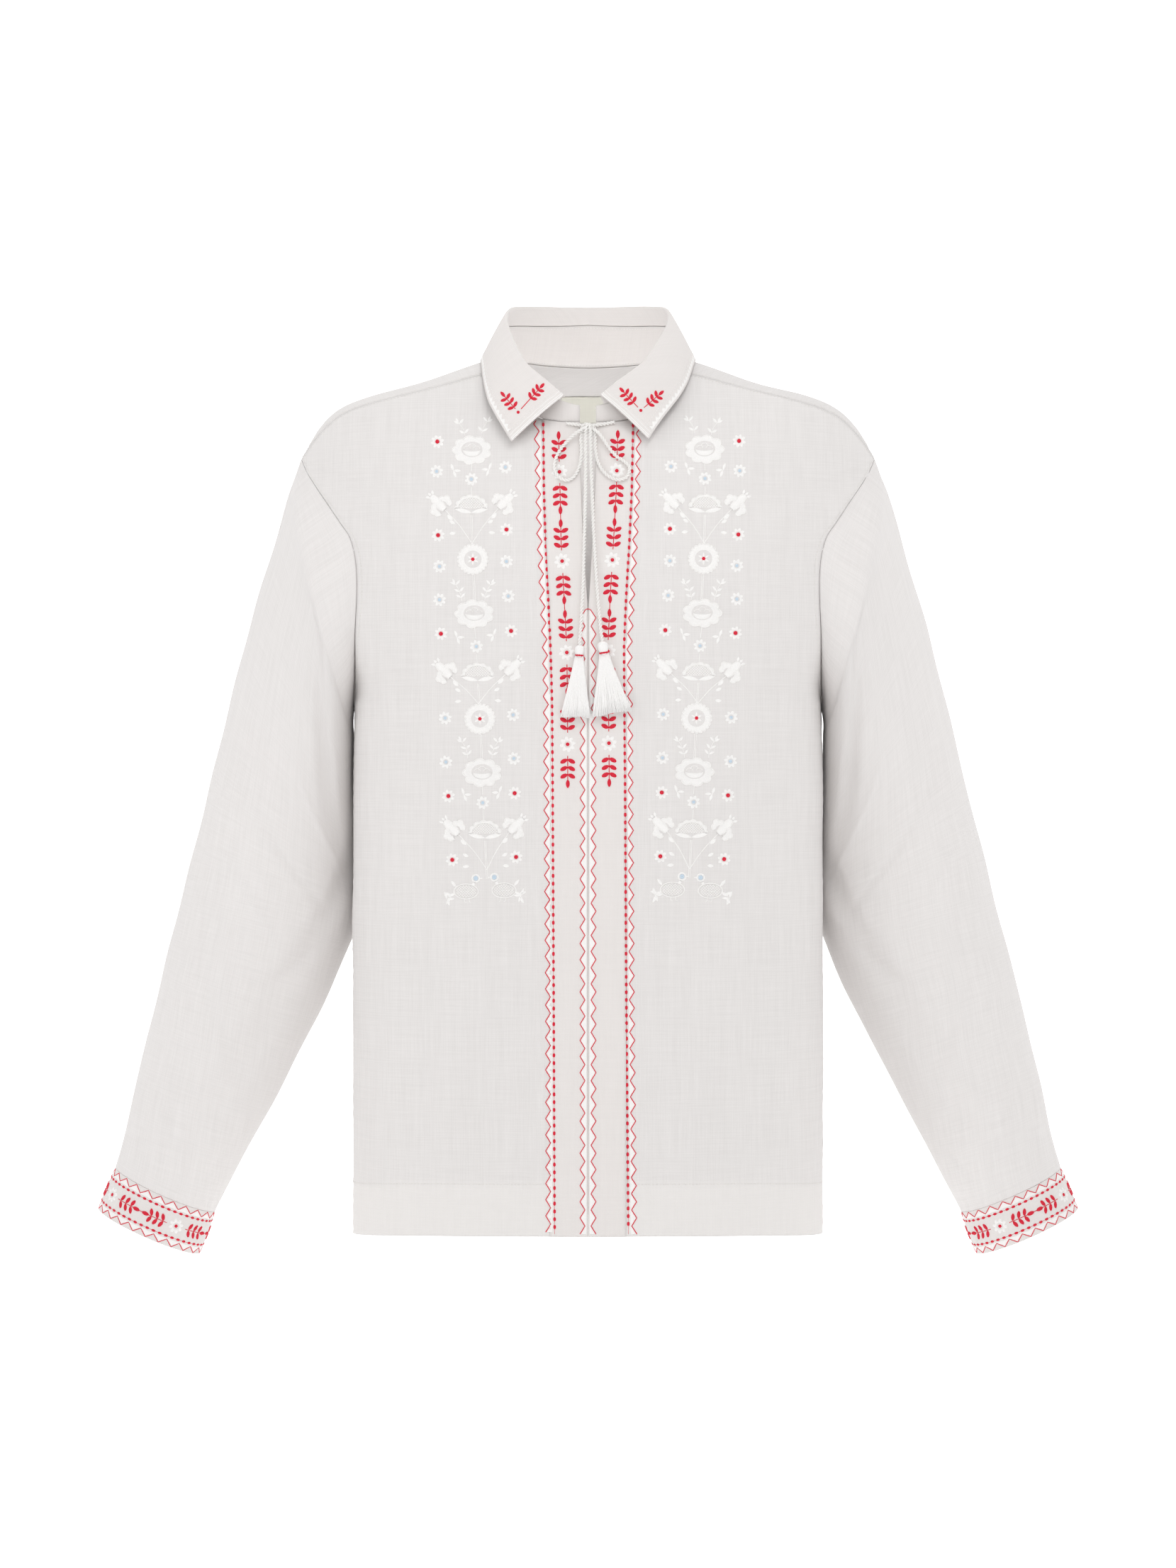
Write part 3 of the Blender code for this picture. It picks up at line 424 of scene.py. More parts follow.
FALL_STATIONS = np.array((0, 5, 11, 18, 26, 34, 42, 50, 58, 66, 74, 82, 91, 100), float)
ROLL_RADIUS = 2.2


# %% Sections of the front and the back
def slit_half_gap(z):
    down = np.clip((NECK_FRONT_Z - z) / (NECK_FRONT_Z - SLIT_BOTTOM_Z), 0, 1)
    return float(SEAM_GAP / 2 + (SLIT_TOP_GAP - SEAM_GAP) / 2 * (1 - down**1.6))


def front_section(row, start_x, turns):
    sweep = radians(row.sweep)
    across = np.sin(turns) / sin(sweep)
    lift = np.clip((1 - np.cos(turns)) / (1 - np.cos(sweep)), 0, None)
    return spots(
        start_x + (row.edge_x - start_x) * across,
        row.middle_y + (row.edge_y - row.middle_y) * lift**row.boxy,
        row.middle_z + (row.edge_z - row.middle_z) * np.clip(across, 0, None) ** row.rise,
    )


def back_section(row, turns):
    sweep = radians(row.sweep)
    size = np.abs(turns)
    lift = (1 - np.cos(size)) / (1 - np.cos(sweep))
    ridge = min(radians(RIDGE_TURN), sweep)
    rise = np.clip(size / ridge, 0, 1)
    fall = np.clip((size - ridge) / max(sweep - ridge, 1e-6), 0, 1)
    return spots(
        row.edge_x * np.sin(turns) / sin(sweep),
        row.middle_y + (row.edge_y - row.middle_y) * lift,
        row.middle_z + (row.ridge_z - row.middle_z) * rise**2 * (3 - 2 * rise)
        + (row.edge_z - row.ridge_z) * fall**2,
    )


def front_depth(x, z):
    """The front's y at a place seen from the front, found by halving."""
    low, high = 0.0, float(HEM_ROW)
    for _ in range(26):
        middle = (low + high) / 2
        row = FRONT.cuts([middle])[0]
        start = slit_half_gap(row.middle_z)
        across = min(max((abs(x) - start) / (row.edge_x - start), 0.0), 1.0)
        point = front_section(row, start, np.array([asin(across * sin(radians(row.sweep)))]))[0]
        low, high = (middle, high) if point[2] > z else (low, middle)
    return float(point[1])


def body_folds(points):
    """The body's points, moved in and out by the soft folds that the CAD model has too."""
    x, y, z = points[..., 0], points[..., 1], points[..., 2]
    turn = np.degrees(np.arctan2(y, x))
    shift = np.zeros_like(x)
    for fold_turn, top_z, bottom_z, lean, half_turn, depth in BODY_FOLDS:
        share = (top_z - z) / (top_z - bottom_z)
        away = turn - fold_turn - lean * (share - 0.5)
        shift += depth * np.sin(pi * np.clip(share * 0.92, 0, 1)) * bump(away / half_turn)
    reach = np.maximum(np.hypot(x, y), 1)
    return points + spots(x / reach, y / reach, 0.0) * shift[..., None]


# %% [markdown]
# ## The drawstring
# The tie is one soft two-ply cord on each side. It comes out of the neck seam, goes through the knot, makes
# a loop, goes back through the knot and hangs down to its tassel. A bow crosses its cords in the knot,
# so the cord from the right seam makes the left loop. The route is drawn over the bands.
# %% Draw the cords' routes
def over_the_bands(x, z, off):
    return np.array((x, front_depth(x, z) - 2 * LAY_GAP - CLOTH - CORD_WIDTH / 2 - off, z))


# Each point's x and z, and how far the cord stands off the bands there.
CORD_FROM_RIGHT = (
    (-17.6, -61.6, 0.0), (-13.5, -62.2, 0.1), (-9.8, -62.8, 0.3), (-6.4, -63.4, 0.6), (-1.0, -64.2, 1.1),
    (5.8, -67.5, 3.2), (10.6, -72.4, 2.4), (16.0, -80.4, 1.2), (22.2, -88.2, 0.5),
    (28.4, -92.4, 0.2), (33.2, -97.8, 0.0), (31.4, -105.0, 0.0), (24.6, -108.0, 0.0),
    (17.2, -105.4, 0.0), (11.4, -100.0, 0.1), (7.8, -92.6, 0.2), (6.0, -83.4, 0.3), (5.8, -74.0, 0.4),
    (4.6, -67.2, 0.9), (1.5, -63.8, 1.6), (-1.4, -66.4, 2.0),
    (-1.9, -72.2, 1.4), (-1.9, -91.0, 0.6), (-2.1, -120.0, 0.3), (-2.9, -152.0, 0.2),
    (-3.7, -183.0, 0.2), (-5.0, -213.8, 0.6), (-6.5, -237.8, 1.6), (-6.9, -244.6, 1.6),
)
CORD_FROM_LEFT = (
    (21.4, -60.6, 0.3), (16.5, -61.6, 0.3), (11.0, -62.6, 0.3), (6.4, -63.4, 0.6), (0.5, -64.6, 2.4),
    (-5.8, -67.5, 4.2), (-10.4, -70.6, 3.0), (-16.4, -76.2, 1.4), (-22.2, -83.4, 0.4),
    (-26.2, -91.8, 0.1), (-26.6, -99.4, 0.0), (-23.4, -105.6, 0.0), (-17.3, -108.3, 0.0),
    (-11.2, -105.3, 0.0), (-7.2, -97.9, 0.1), (-5.5, -89.5, 0.2), (-5.4, -80.7, 0.3), (-5.7, -74.0, 0.4),
    (-4.8, -66.8, 0.9), (-1.6, -62.6, 2.6), (1.5, -65.6, 3.0),
    (1.9, -72.2, 1.4), (2.3, -96.7, 0.5), (3.4, -121.4, 0.3), (4.3, -146.0, 0.2),
    (6.0, -176.9, 0.2), (8.2, -207.7, 0.6), (11.0, -235.6, 1.6), (12.0, -242.4, 1.6),
)


def smooth_route(places, step=0.55):
    line = np.array([over_the_bands(*place) for place in places])
    return evenly(curve_through(line, np.linspace(0, len(line) - 1, 40 * len(line))), step)


# %% [markdown]
# A two-ply cord is two strands that wind round one line. Each strand is a round tube whose centre turns
# about the route, once in 5.7 mm, so the side view shows a crest every 2.8 mm, as on the real one.
# %% Twist two strands
def frames_along(path, closed=False):
    """Two unit vectors square to a path at each point, turned as little as possible."""
    along = directions(path)
    if closed:
        along = unit(np.roll(path, -1, axis=0) - np.roll(path, 1, axis=0))
    sides = [unit(np.cross(along[0], (0.3, 1.0, 0.2)))]
    for direction in along[1:]:
        sides.append(unit(sides[-1] - (sides[-1] @ direction) * direction))
    return np.array(sides), np.cross(along, sides)


def new_mesh(name, points, faces):
    """A smooth mesh object in the model's own frame, its points given in millimetres."""
    mesh = bpy.data.meshes.new(name)
    mesh.from_pydata(np.asarray(points) * MM, [], faces)
    mesh.polygons.foreach_set("use_smooth", [True] * len(mesh.polygons))
    mesh.update()
    made = bpy.data.objects.new(name, mesh)
    bpy.context.scene.collection.objects.link(made)
    return made


def mark_points(made, name, values):
    mark = made.data.attributes.new(name, "FLOAT", "POINT")
    mark.data.foreach_set("value", values.astype(np.float32).reshape(-1))


def oval(angles, across, deep):
    return np.cos(angles)[..., None] * across + np.sin(angles)[..., None] * deep


def twisted_cord(name, path, width=CORD_WIDTH, lay=5.7, closed=False, around=9):
    sides, others = frames_along(path, closed)
    count = len(path) if closed else len(path) - 1
    turns = np.linalg.norm(np.diff(path, axis=0), axis=1).mean() * count / lay
    wind = 2 * pi * (max(1, round(turns)) if closed else turns) * np.arange(len(path)) / count
    angles = np.linspace(0, 2 * pi, around, endpoint=False)
    ring = oval(angles[None], sides[:, None], others[:, None])
    points, faces = [], []
    for start in (0.0, pi):
        centre = path + width * 0.235 * oval(wind + start, sides, others)
        faces += renumbered(tube_faces(len(path), around, closed), len(points) * len(path) * around)
        points.append((centre[:, None] + width * 0.275 * ring).reshape(-1, 3))
    made = new_mesh(name, np.concatenate(points), faces)
    mark_points(made, "ply", np.tile((angles * 0.28 - wind[:, None] * 0.28).reshape(-1), 2))
    return made


def dress(made, finish, slot, *nodes):
    """Gives a piece its finish and its place in the model."""
    made.data.materials.append(finish)
    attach(made, "root")
    if nodes:
        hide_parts(*nodes)
    return made


def joined(name, pieces):
    bpy.ops.object.select_all(action="DESELECT")
    for piece in pieces:
        piece.select_set(True)
    bpy.context.view_layer.objects.active = pieces[0]
    bpy.ops.object.join()
    pieces[0].name = name
    return pieces[0]


routes = {"right": smooth_route(CORD_FROM_RIGHT), "left": smooth_route(CORD_FROM_LEFT)}
cords = {name: twisted_cord("drawstring_from_" + name, route) for name, route in routes.items()}
for route in routes.values():
    print("cord length", round(float(run_along(route)[-1]), 1), "mm")


# %% [markdown]
# ## Finishes
# Linen is a plain weave of uneven yarn: fine threads both ways, with thicker streaks that run on for some
# centimetres. The pattern follows each cloth's own map, which is in metres along its threads. Embroidery
# thread is glossier, and its gloss comes from the satin stitches' own ridges.
# %% Make the linen
def linen(name, light, dark, streak, weave_depth, pitch=0.00072):
    made, paint = new_finish(
        name, Roughness=0.88, Sheen_Weight=0.18, Sheen_Roughness=0.5, Specular_IOR_Level=0.25
    )
    u, v, _ = paint.split(paint.node("ShaderNodeTexCoord", {}, out="UV"))
    sway = paint.noise(paint.join(u, v, 0.0), 38.0, 1.0) * 0.0011
    upright = paint.noise(paint.join((u + sway) * 950.0, v * 26.0, 3.0), 1.0, 2.0, 0.62)
    level = paint.noise(paint.join(u * 24.0, (v + sway) * 950.0, 9.0), 1.0, 2.0, 0.62)
    broad = paint.noise(paint.join(u * 190.0, v * 9.0, 5.0), 1.0, 1.0)
    yarn = upright * 0.55 + level * 0.45
    cross = abs(((u + sway) * (pi / pitch)).sine() * ((v + sway) * (pi / pitch)).sine())
    share = (yarn - 0.5) * streak + (broad - 0.5) * 0.45 + cross * 0.2 + 0.42
    colour = paint.mix(share, dark, light)
    warmer = tuple(min(1.0, c * 1.035) for c in light[:2]) + (light[2] * 1.02,)
    paint.feed(Base_Color=paint.mix(paint.mark("doubled") * 0.5, colour, warmer))
    paint.relief(weave_depth, 0.00030, cross * 0.5 + yarn * 0.9)
    return made


# The fronts and back get a copy of the linen painted darker than the sleeves' copy: painted shade of the hollow
# inside the shirt, which shows through the cloth. The sleeves' copy is the lighter, lit one.
hollow_shaded_linen = linen("bleached_linen_painted_darker", (0.815, 0.790, 0.777), (0.731, 0.706, 0.692), 2.2, 0.5)
sleeve_linen = linen("sleeve_linen", (0.845, 0.818, 0.805), (0.758, 0.731, 0.717), 2.2, 0.5)
firm_linen = linen("interlined_linen", (0.815, 0.780, 0.760), (0.762, 0.725, 0.705), 1.6, 0.4)


# %% Make the threads, the cord and the label
def thread(name, light, dark, roughness, sheen=0.25):
    """Lustrous thread: its colour wavers a little, and fine fibres break up the gloss."""
    made, paint = new_finish(name, Sheen_Weight=sheen, Sheen_Roughness=0.4, Specular_IOR_Level=0.3)
    place = paint.node("ShaderNodeTexCoord", {}, out="Object")
    waver, fibres = paint.noise(place, 900.0, 2.0), paint.noise(place, 5200.0, 1.0)
    paint.feed(
        Base_Color=paint.mix((waver - 0.5) * 1.6 + 0.5, dark, light),
        Roughness=roughness - 0.08 + fibres * 0.16,
    )
    paint.relief(0.35, 0.00006, fibres)
    return made


red_thread = thread("red_cotton_thread", (0.76, 0.014, 0.044), (0.60, 0.008, 0.03), 0.5, sheen=0.04)
white_thread = thread("white_cotton_thread", (0.94, 0.925, 0.91), (0.87, 0.855, 0.84), 0.5)
sewing_thread = thread("sewing_thread", (0.84, 0.82, 0.79), (0.74, 0.715, 0.68), 0.6)
blue_thread = thread("pale_blue_thread", (0.62, 0.73, 0.82), (0.52, 0.64, 0.76), 0.5)
tassel_thread = thread("tassel_thread", (0.97, 0.96, 0.95), (0.90, 0.885, 0.87), 0.48)


def plied(name, light, dark):
    """Cord: each strand is spun from fine yarns that wind round it, in its own ply attribute."""
    made, paint = new_finish(name, Roughness=0.55, Sheen_Weight=0.3, Sheen_Roughness=0.4)
    # The grooves between the yarns are painted darker, as painted shade, mixed with a random fuzz tone; the same
    # pattern raises the yarns as relief.
    yarns = abs((paint.mark("ply") * 9.0).sine())
    fuzz = paint.noise(paint.node("ShaderNodeTexCoord", {}, out="Object"), 3800.0, 2.0)
    shade = yarns * 0.55 + fuzz * 0.45
    paint.feed(Base_Color=paint.mix(shade, dark, light))
    paint.relief(0.5, 0.00012, shade)
    return made


cord_finish = plied("twisted_white_cord", (0.95, 0.94, 0.92), (0.78, 0.76, 0.73))
label_finish = linen("bare_woven_label", (0.775, 0.765, 0.685), (0.69, 0.68, 0.602), 0.9, 0.3, 0.0005)


# %% [markdown]
# ## Sewing the cloth
# A sheet of cloth is a grid of points with a thin wall. Solidify gives the wall inwards, so the outer face
# stays on the CAD model's. The map runs along the threads in metres, down the piece and across it.
# %% Sheets of cloth
def outward(points, flip=False, closed=False):
    """Unit normals on the outer side of a grid of points."""
    if closed:
        return outward(np.concatenate([points[:, -1:], points, points[:, :1]], axis=1), flip)[:, 1:-1]
    down, across = np.gradient(points, axis=0), np.gradient(points, axis=1)
    return unit(np.cross(down, across) * (1 if flip else -1))


def lengths_along(points, closed=False):
    """How far across and down the cloth each point lies, in millimetres; the extra column closes a tube."""
    if closed:
        points = np.concatenate([points, points[:, :1]], axis=1)
    across = np.linalg.norm(np.diff(points, axis=1), axis=2)
    down = np.linalg.norm(np.diff(points, axis=0), axis=2).mean(axis=1)
    u = np.concatenate([np.zeros((len(points), 1)), np.cumsum(across, axis=1)], axis=1)
    v = np.concatenate([[0], np.cumsum(down)])[:, None] * np.ones_like(u)
    return u, v


def declare(piece, points, closed):
    """Says what a piece was cut to: its width, its length and its area, in metres."""
    wide = np.concatenate([points, points[:, :1]], axis=1) if closed else points
    a, b = wide[1:, 1:] - wide[:-1, :-1], wide[1:, :-1] - wide[:-1, 1:]
    area = np.linalg.norm(np.cross(a, b), axis=-1).sum() / 2 * MM * MM
    down = np.linalg.norm(np.diff(wide, axis=0), axis=2).sum(axis=0).max()
    width = round(float(lengths_along(points, closed)[0][:, -1].max()) * MM, 4)
    length = round(float(down) * MM, 4)
    area = round(min(float(area), 0.99 * width * length), 6)
    print(piece.name, "cut", (width, length), "m, area", area, "m2")


def cloth_piece(
    name, node, points, wall, finish, slot, closed=False, flip=False, straight=None, doubled=None
):
    """A cloth piece that stands for its CAD node. straight gives its map where the threads hang plumb."""
    rows, columns = points.shape[:2]
    made = new_mesh(name, points.reshape(-1, 3), grid_faces(rows, columns, closed, flip))
    u, v = lengths_along(points, closed) if straight is None else straight
    i, j = grid_corners(rows, columns, closed, flip).reshape(-1, 2).T
    layer = made.data.uv_layers.new(name="cloth_map")
    layer.data.foreach_set("uv", (spots(u[i, j], -v[i, j]) * MM).astype(np.float32).reshape(-1))
    mark_points(made, "doubled", np.zeros((rows, columns)) if doubled is None else doubled)
    thickness = made.modifiers.new("cloth wall", "SOLIDIFY")
    thickness.thickness = wall * MM
    thickness.offset = -1
    bpy.context.view_layer.objects.active = made
    bpy.ops.object.modifier_apply(modifier=thickness.name)
    dress(made, finish, slot, node)
    declare(made, points, closed)
    return made


bpy.ops.object.select_all(action="DESELECT")


# %% [markdown]
# Worn linen is never flat. Besides the main folds there are slack places a hand wide, small creases that
# pull from the seams, and puckers a centimetre long where a seam has drawn the cloth in. They are moved
# into the grid along its own normals.
# %% Slack, creases and puckers
SLACK_WAVES = (
    (0.061, 0.013, 0.031), (-0.043, 0.037, 0.052), (0.021, -0.049, 0.074), (0.087, 0.022, -0.019),
    (-0.015, 0.081, 0.093),
)


def slack(points, size, seed):
    """A quiet unevenness, from a few long waves that never line up."""
    total = 0
    for k, wave in enumerate(SLACK_WAVES):
        total = total + np.sin(points @ np.array(wave) + 1.7 * seed + 2.1 * k) * (0.9 - 0.12 * k)
    return total * size / 2


def creased(points, table):
    """How far creases move a grid, each a straight stroke seen from the front."""
    x, z = points[..., 0], points[..., 2]
    total = np.zeros_like(x)
    for x1, z1, x2, z2, half_width, depth in table:
        run = np.array((x2 - x1, z2 - z1))
        length = np.hypot(*run)
        run = run / length
        along = (x - x1) * run[0] + (z - z1) * run[1]
        edge = ((x - x1) * -run[1] + (z - z1) * run[0]) / half_width
        fade = np.sin(pi * np.clip(along / length, 0, 1)) ** 0.8
        total += depth * fade * (np.exp(-edge**2) - 0.45 * np.exp(-((edge - 1.6) ** 2)))
    return total


# Each crease's first x and z, last x and z, half its width, and its depth.
FRONT_CREASES = (
    (-186, -150, -120, -250, 9, -1.5), (-192, -205, -140, -330, 10, 1.3), (-205, -90, -165, -170, 8, -1.2),
    (-176, -60, -122, -120, 9, 0.9), (-175, -380, -150, -560, 12, 1.2), (-110, -430, -122, -640, 14, -1.0),
    (188, -160, 126, -262, 9, -1.4), (196, -212, 150, -350, 10, 1.4), (208, -92, 172, -180, 8, -1.1),
    (170, -58, 118, -112, 9, 0.9), (172, -420, 154, -600, 12, 1.3), (104, -460, 116, -660, 14, -1.1),
    (-70, -560, -62, -700, 16, 0.8), (66, -540, 74, -690, 16, 0.8),
)
BACK_CREASES = (
    (-190, -170, -110, -240, 10, 1.7), (-186, -230, -96, -320, 12, -1.5), (190, -180, 104, -250, 10, 1.6),
    (184, -240, 90, -330, 12, -1.4), (-40, -120, -52, -420, 14, 1.4), (36, -140, 50, -460, 14, 1.3),
    (-120, -360, -128, -640, 15, -1.3), (122, -380, 130, -650, 15, -1.3), (0, -300, 6, -620, 18, 1.0),
)


def puckers(distance_to_seam, along, depth=0.28, pitch=11.0):
    """Short waves across a seam, gone 16 mm away from it."""
    waves = np.sin(2 * pi * along / pitch) + 0.5 * np.sin(2 * pi * along / (pitch * 0.63) + 1.3)
    return depth * waves * np.exp(-((distance_to_seam / 9.0) ** 2))


# %% [markdown]
# ## The fronts, the bands and the back
# The fronts meet in a seam below the neck slit, and a firm band lies on each, beside the slit and down to
# the hem. The band is a strip folded round the front's edge, so its inner edge is a soft turn.
# %% Grids of the fronts and the back
BODY_PLACES = np.concatenate([
    np.linspace(0, SHOULDER_TIP_ROW, 44, endpoint=False),
    np.linspace(SHOULDER_TIP_ROW, UNDERARM_ROW, 78, endpoint=False), np.linspace(UNDERARM_ROW, HEM_ROW, 110),
])
BAND_STEPS, PANEL_STEPS, BACK_STEPS = 12, 58, 150
PANEL_WALL, BAND_WALL = 0.65, 0.4
HEM_STITCHES = 42


def pulled_in(points, column, neighbour):
    """The seam's edge, drawn back by half the seam's gap, and by more at the shoulder tip."""
    edge, beside = points[:, column], points[:, neighbour]
    along = directions(edge)
    inwards = beside - edge
    inwards = unit(inwards - (inwards * along).sum(1, keepdims=True) * along)
    tip = bump((BODY_PLACES - SHOULDER_TIP_ROW) / 2.2)[:, None]
    points[:, column] = edge + inwards * (0.08 + 0.2 * tip)


def above_hem(points):
    return points[..., 2] - points[-1][None, :, 2]


def worn(points, flip, seams, looseness, seed, creases, share):
    """A body panel's points with all its unevenness, its outward normals, and its points without it.
    seams gives the columns at its seams with their neighbours, and share how much it may move where."""
    points = body_folds(points)
    for column, neighbour in seams:
        pulled_in(points, column, neighbour)
    normals = outward(points, flip)
    u, v = lengths_along(points)
    away = np.min([np.abs(u - u[:, column][:, None]) for column, _ in seams], axis=0)
    shift = slack(points, looseness, seed) + creases(points) + puckers(away, v)
    shift += 0.16 * np.sin(points[..., 0] / 2.1) * np.exp(-(((above_hem(points) - HEM_STITCHES) / 5.0) ** 2))
    return points + normals * (shift * np.clip(away / 6.0, 0, 1) * share)[..., None], normals, points


def hem_turn(points):
    """1 where the hem is turned up and the cloth lies double."""
    return np.clip((HEM_STITCHES + 1 - above_hem(points)) / 1.5, 0, 1)


plain_front = []
for row in FRONT.cuts(BODY_PLACES):
    start, sweep = slit_half_gap(row.middle_z), radians(row.sweep)
    reach = sin(sweep) / (row.edge_x - start)
    band = [asin(reach * BAND_WIDTH * share) for share in np.linspace(0, 1, BAND_STEPS + 1)]
    turns = np.concatenate([band, np.linspace(band[-1], sweep, PANEL_STEPS + 1)[1:]])
    plain_front.append(front_section(row, start, turns))
band_share = np.where(np.arange(BAND_STEPS + PANEL_STEPS + 1) < BAND_STEPS + 3, 0.25, 1.0)
fronts = {
    side: worn(
        np.array(plain_front) * (side, 1.0, 1.0), side > 0, ((-1, -2),), 0.55, 3 + side,
        lambda points: creased(points, FRONT_CREASES), band_share,
    )
    for side in SIDES
}

# %% Cut the fronts
for side, (points, _, plain) in fronts.items():
    cut = points.copy()
    below = np.clip((SLIT_BOTTOM_Z - points[:, 0, 2]) / 4, 0, 1)[:, None]
    cut[:, 0] = (points[:, 0] * 0.3 + points[:, 1] * 0.7) * (1 - below) + points[:, 0] * below
    cut[:, 0, 0] -= side * 0.27 * below[:, 0]
    cloth_piece(
        "linen_front_" + SIDES[side], "front_" + SIDES[side], cut, PANEL_WALL, hollow_shaded_linen, "linen",
        flip=side > 0, straight=(np.abs(points[..., 0]), -points[..., 2]), doubled=hem_turn(plain),
    )


# %% Fold the bands round the edges
def rolled_edge(surface, normals, side, radius=0.95, tail=5.0):
    """Extra columns that turn the band's inner edge round to the inside of the front."""
    inwards = np.array((-side, 0.0, 0.0))
    closer = np.clip((SLIT_BOTTOM_Z - surface[:, 0, 2]) / 4, 0, 1)[:, None] * 0.24
    seat = surface[:, 0] - normals[:, 0] * radius - inwards * (radius - closer)
    columns = [seat - normals[:, 0] * radius - inwards * tail]
    for angle in np.linspace(pi, 0, 9):
        columns.append(seat + normals[:, 0] * radius * cos(angle) + inwards * radius * sin(angle))
    return np.stack(columns, axis=1)


bands = {}
band_lift = np.full(BAND_STEPS + 1, LAY_GAP + CLOTH)
band_lift[-3:] = (1.25, 1.0, 0.7)
for side, (points, normals, _) in fronts.items():
    surface = points[:, :BAND_STEPS + 1] + normals[:, :BAND_STEPS + 1] * band_lift[None, :, None]
    bands[side] = surface
    whole = np.concatenate([rolled_edge(surface, normals, side), surface[:, 1:]], axis=1)
    cloth_piece(
        "band_strip_" + SIDES[side], "band_" + SIDES[side], whole, BAND_WALL, firm_linen, "lined_linen",
        flip=side > 0,
        straight=(lengths_along(whole)[0], -whole[..., 2]),
    )

# %% Cut the back
plain_back = []
for row in BACK.cuts(BODY_PLACES):
    sweep = radians(row.sweep)
    plain_back.append(back_section(row, np.linspace(-sweep, sweep, BACK_STEPS + 1)))
back_cloth, back_normals, plain_back = worn(
    np.array(plain_back), False, ((-1, -2), (0, 1)), 0.7, 6,
    lambda points: creased(points, BACK_CREASES) * (points[..., 1] > 0),
    np.clip(np.arange(len(BODY_PLACES)) / 12.0, 0.15, 1)[:, None],
)
cloth_piece(
    "linen_back", "back", back_cloth, PANEL_WALL, hollow_shaded_linen, "linen",
    straight=lengths_along(plain_back), doubled=hem_turn(plain_back),
)


# %% [markdown]
# ## Sleeves and cuffs
# A sleeve starts on the armhole's own loop, so it meets the body all round, and tapers to the cuff. Its
# creases lie across it at the elbow and slant down the forearm, as on any arm that hangs.
# %% Rings of a sleeve
ARMHOLE_PLACES = (6, 7, 8, 9, 10, 11, 12, 12.5, 13, 13.5, 14, 14.5, 15)
FINE = 5
CUFF_TURNS, CUFF_STEPS = 160, 26


def turns_round(count):
    return np.linspace(0, 2 * pi, count, endpoint=False)


def sleeve_start(side):
    """The seam round the armhole, from the shoulder tip down the front and up the back."""
    places = np.interp(np.linspace(0, 12, 12 * FINE + 1), range(13), ARMHOLE_PLACES)
    front, back = (np.array([row[2:5] for row in table.cuts(places)]) for table in (FRONT, BACK))
    out = np.array((side, 1.0, 1.0))
    folded = body_folds(np.concatenate([front, back[-2:0:-1]]) * out) * out
    middle = folded.mean(axis=0)
    low = np.clip((middle[2] - folded[:, 2]) / (middle[2] - folded[:, 2].min()), 0, 1)[:, None] ** 1.5
    return folded + unit(middle - folded) * (0.22 + 0.45 * low) + np.array((1.0, 0, 0)) * (0.12 + 0.4 * low)


def ellipses(table, turns):
    rings = []
    for outer_x, outer_z, inner_x, inner_z, middle_y, half_depth in table:
        middle = np.array(((outer_x + inner_x) / 2, middle_y, (outer_z + inner_z) / 2))
        across = np.array(((outer_x - inner_x) / 2, 0, (outer_z - inner_z) / 2))
        rings.append(middle + oval(turns, across, np.array((0, -half_depth, 0))))
    return np.array(rings)


def sleeve_folds(points, turns, places, table):
    degrees, rings = np.degrees(turns)[None, :], places[:, None]
    shift = np.zeros(points.shape[:2])
    for ring, turn, twist, half_length, half_turn, depth in table:
        away = (degrees - turn - twist * (rings - ring) + 180) % 360 - 180
        shift += depth * bump((rings - ring) / half_length) * bump(away / half_turn)
    return points + unit(points - points.mean(axis=1, keepdims=True)) * shift[..., None]


def sleeve_surface(side):
    turns = turns_round(24 * FINE)
    rings = np.concatenate([sleeve_start(side)[None], ellipses(SLEEVE_RINGS, turns)])
    places = np.concatenate([np.linspace(0, 1, 14, endpoint=False), np.linspace(1, 10, 190)])
    points = sleeve_folds(curve_through(rings, places), turns, places, SLEEVE_FOLDS)
    points[..., 2] -= CUFF_DIP * np.clip((places - 8) / 2, 0, 1)[:, None] * np.sin(turns)
    points = sleeve_folds(points, turns, places, SLEEVE_CREASES) * (side, 1.0, 1.0)
    u, v = (part[:, :-1] for part in lengths_along(points, True))
    bottom = v[-1, 0] - v
    shift = slack(points, 0.75, 8 + side) + puckers(v, u, 0.3) + puckers(bottom, u, 0.35, 9.0)
    shift *= np.clip(np.minimum(v, bottom) / 5.0, 0, 1)
    return points + outward(points, side < 0, closed=True) * shift[..., None]


for side, name in SIDES.items():
    cloth_piece(
        "linen_sleeve_" + name, "sleeve_" + name, sleeve_surface(side), PANEL_WALL, sleeve_linen, "linen",
        closed=True, flip=side < 0,
    )

# %% Close the cuffs
cuffs = {}
for side, name in SIDES.items():
    turns = turns_round(CUFF_TURNS)
    points = ellipses(CUFF_RINGS, turns)
    points[0] += (ellipses(SLEEVE_RINGS[-1:], turns)[0] - points[0]) * 0.85
    points[..., 2] -= CUFF_DIP * np.sin(turns)
    points = curve_through(points, np.linspace(0, 2, CUFF_STEPS + 1)) * (side, 1.0, 1.0)
    normals = outward(points, side < 0, closed=True)
    down = lengths_along(points, True)[1][:, :-1]
    swell = 0.35 * np.sin(pi * down / down.max()) + slack(points, 0.25, 12 + side)
    points = points + normals * (swell - 0.12)[..., None]
    cuffs[side] = (points, normals)
    cloth_piece(
        "cuff_band_" + name, "cuff_" + name, points, 1.5, firm_linen, "lined_linen",
        closed=True, flip=side < 0,
    )


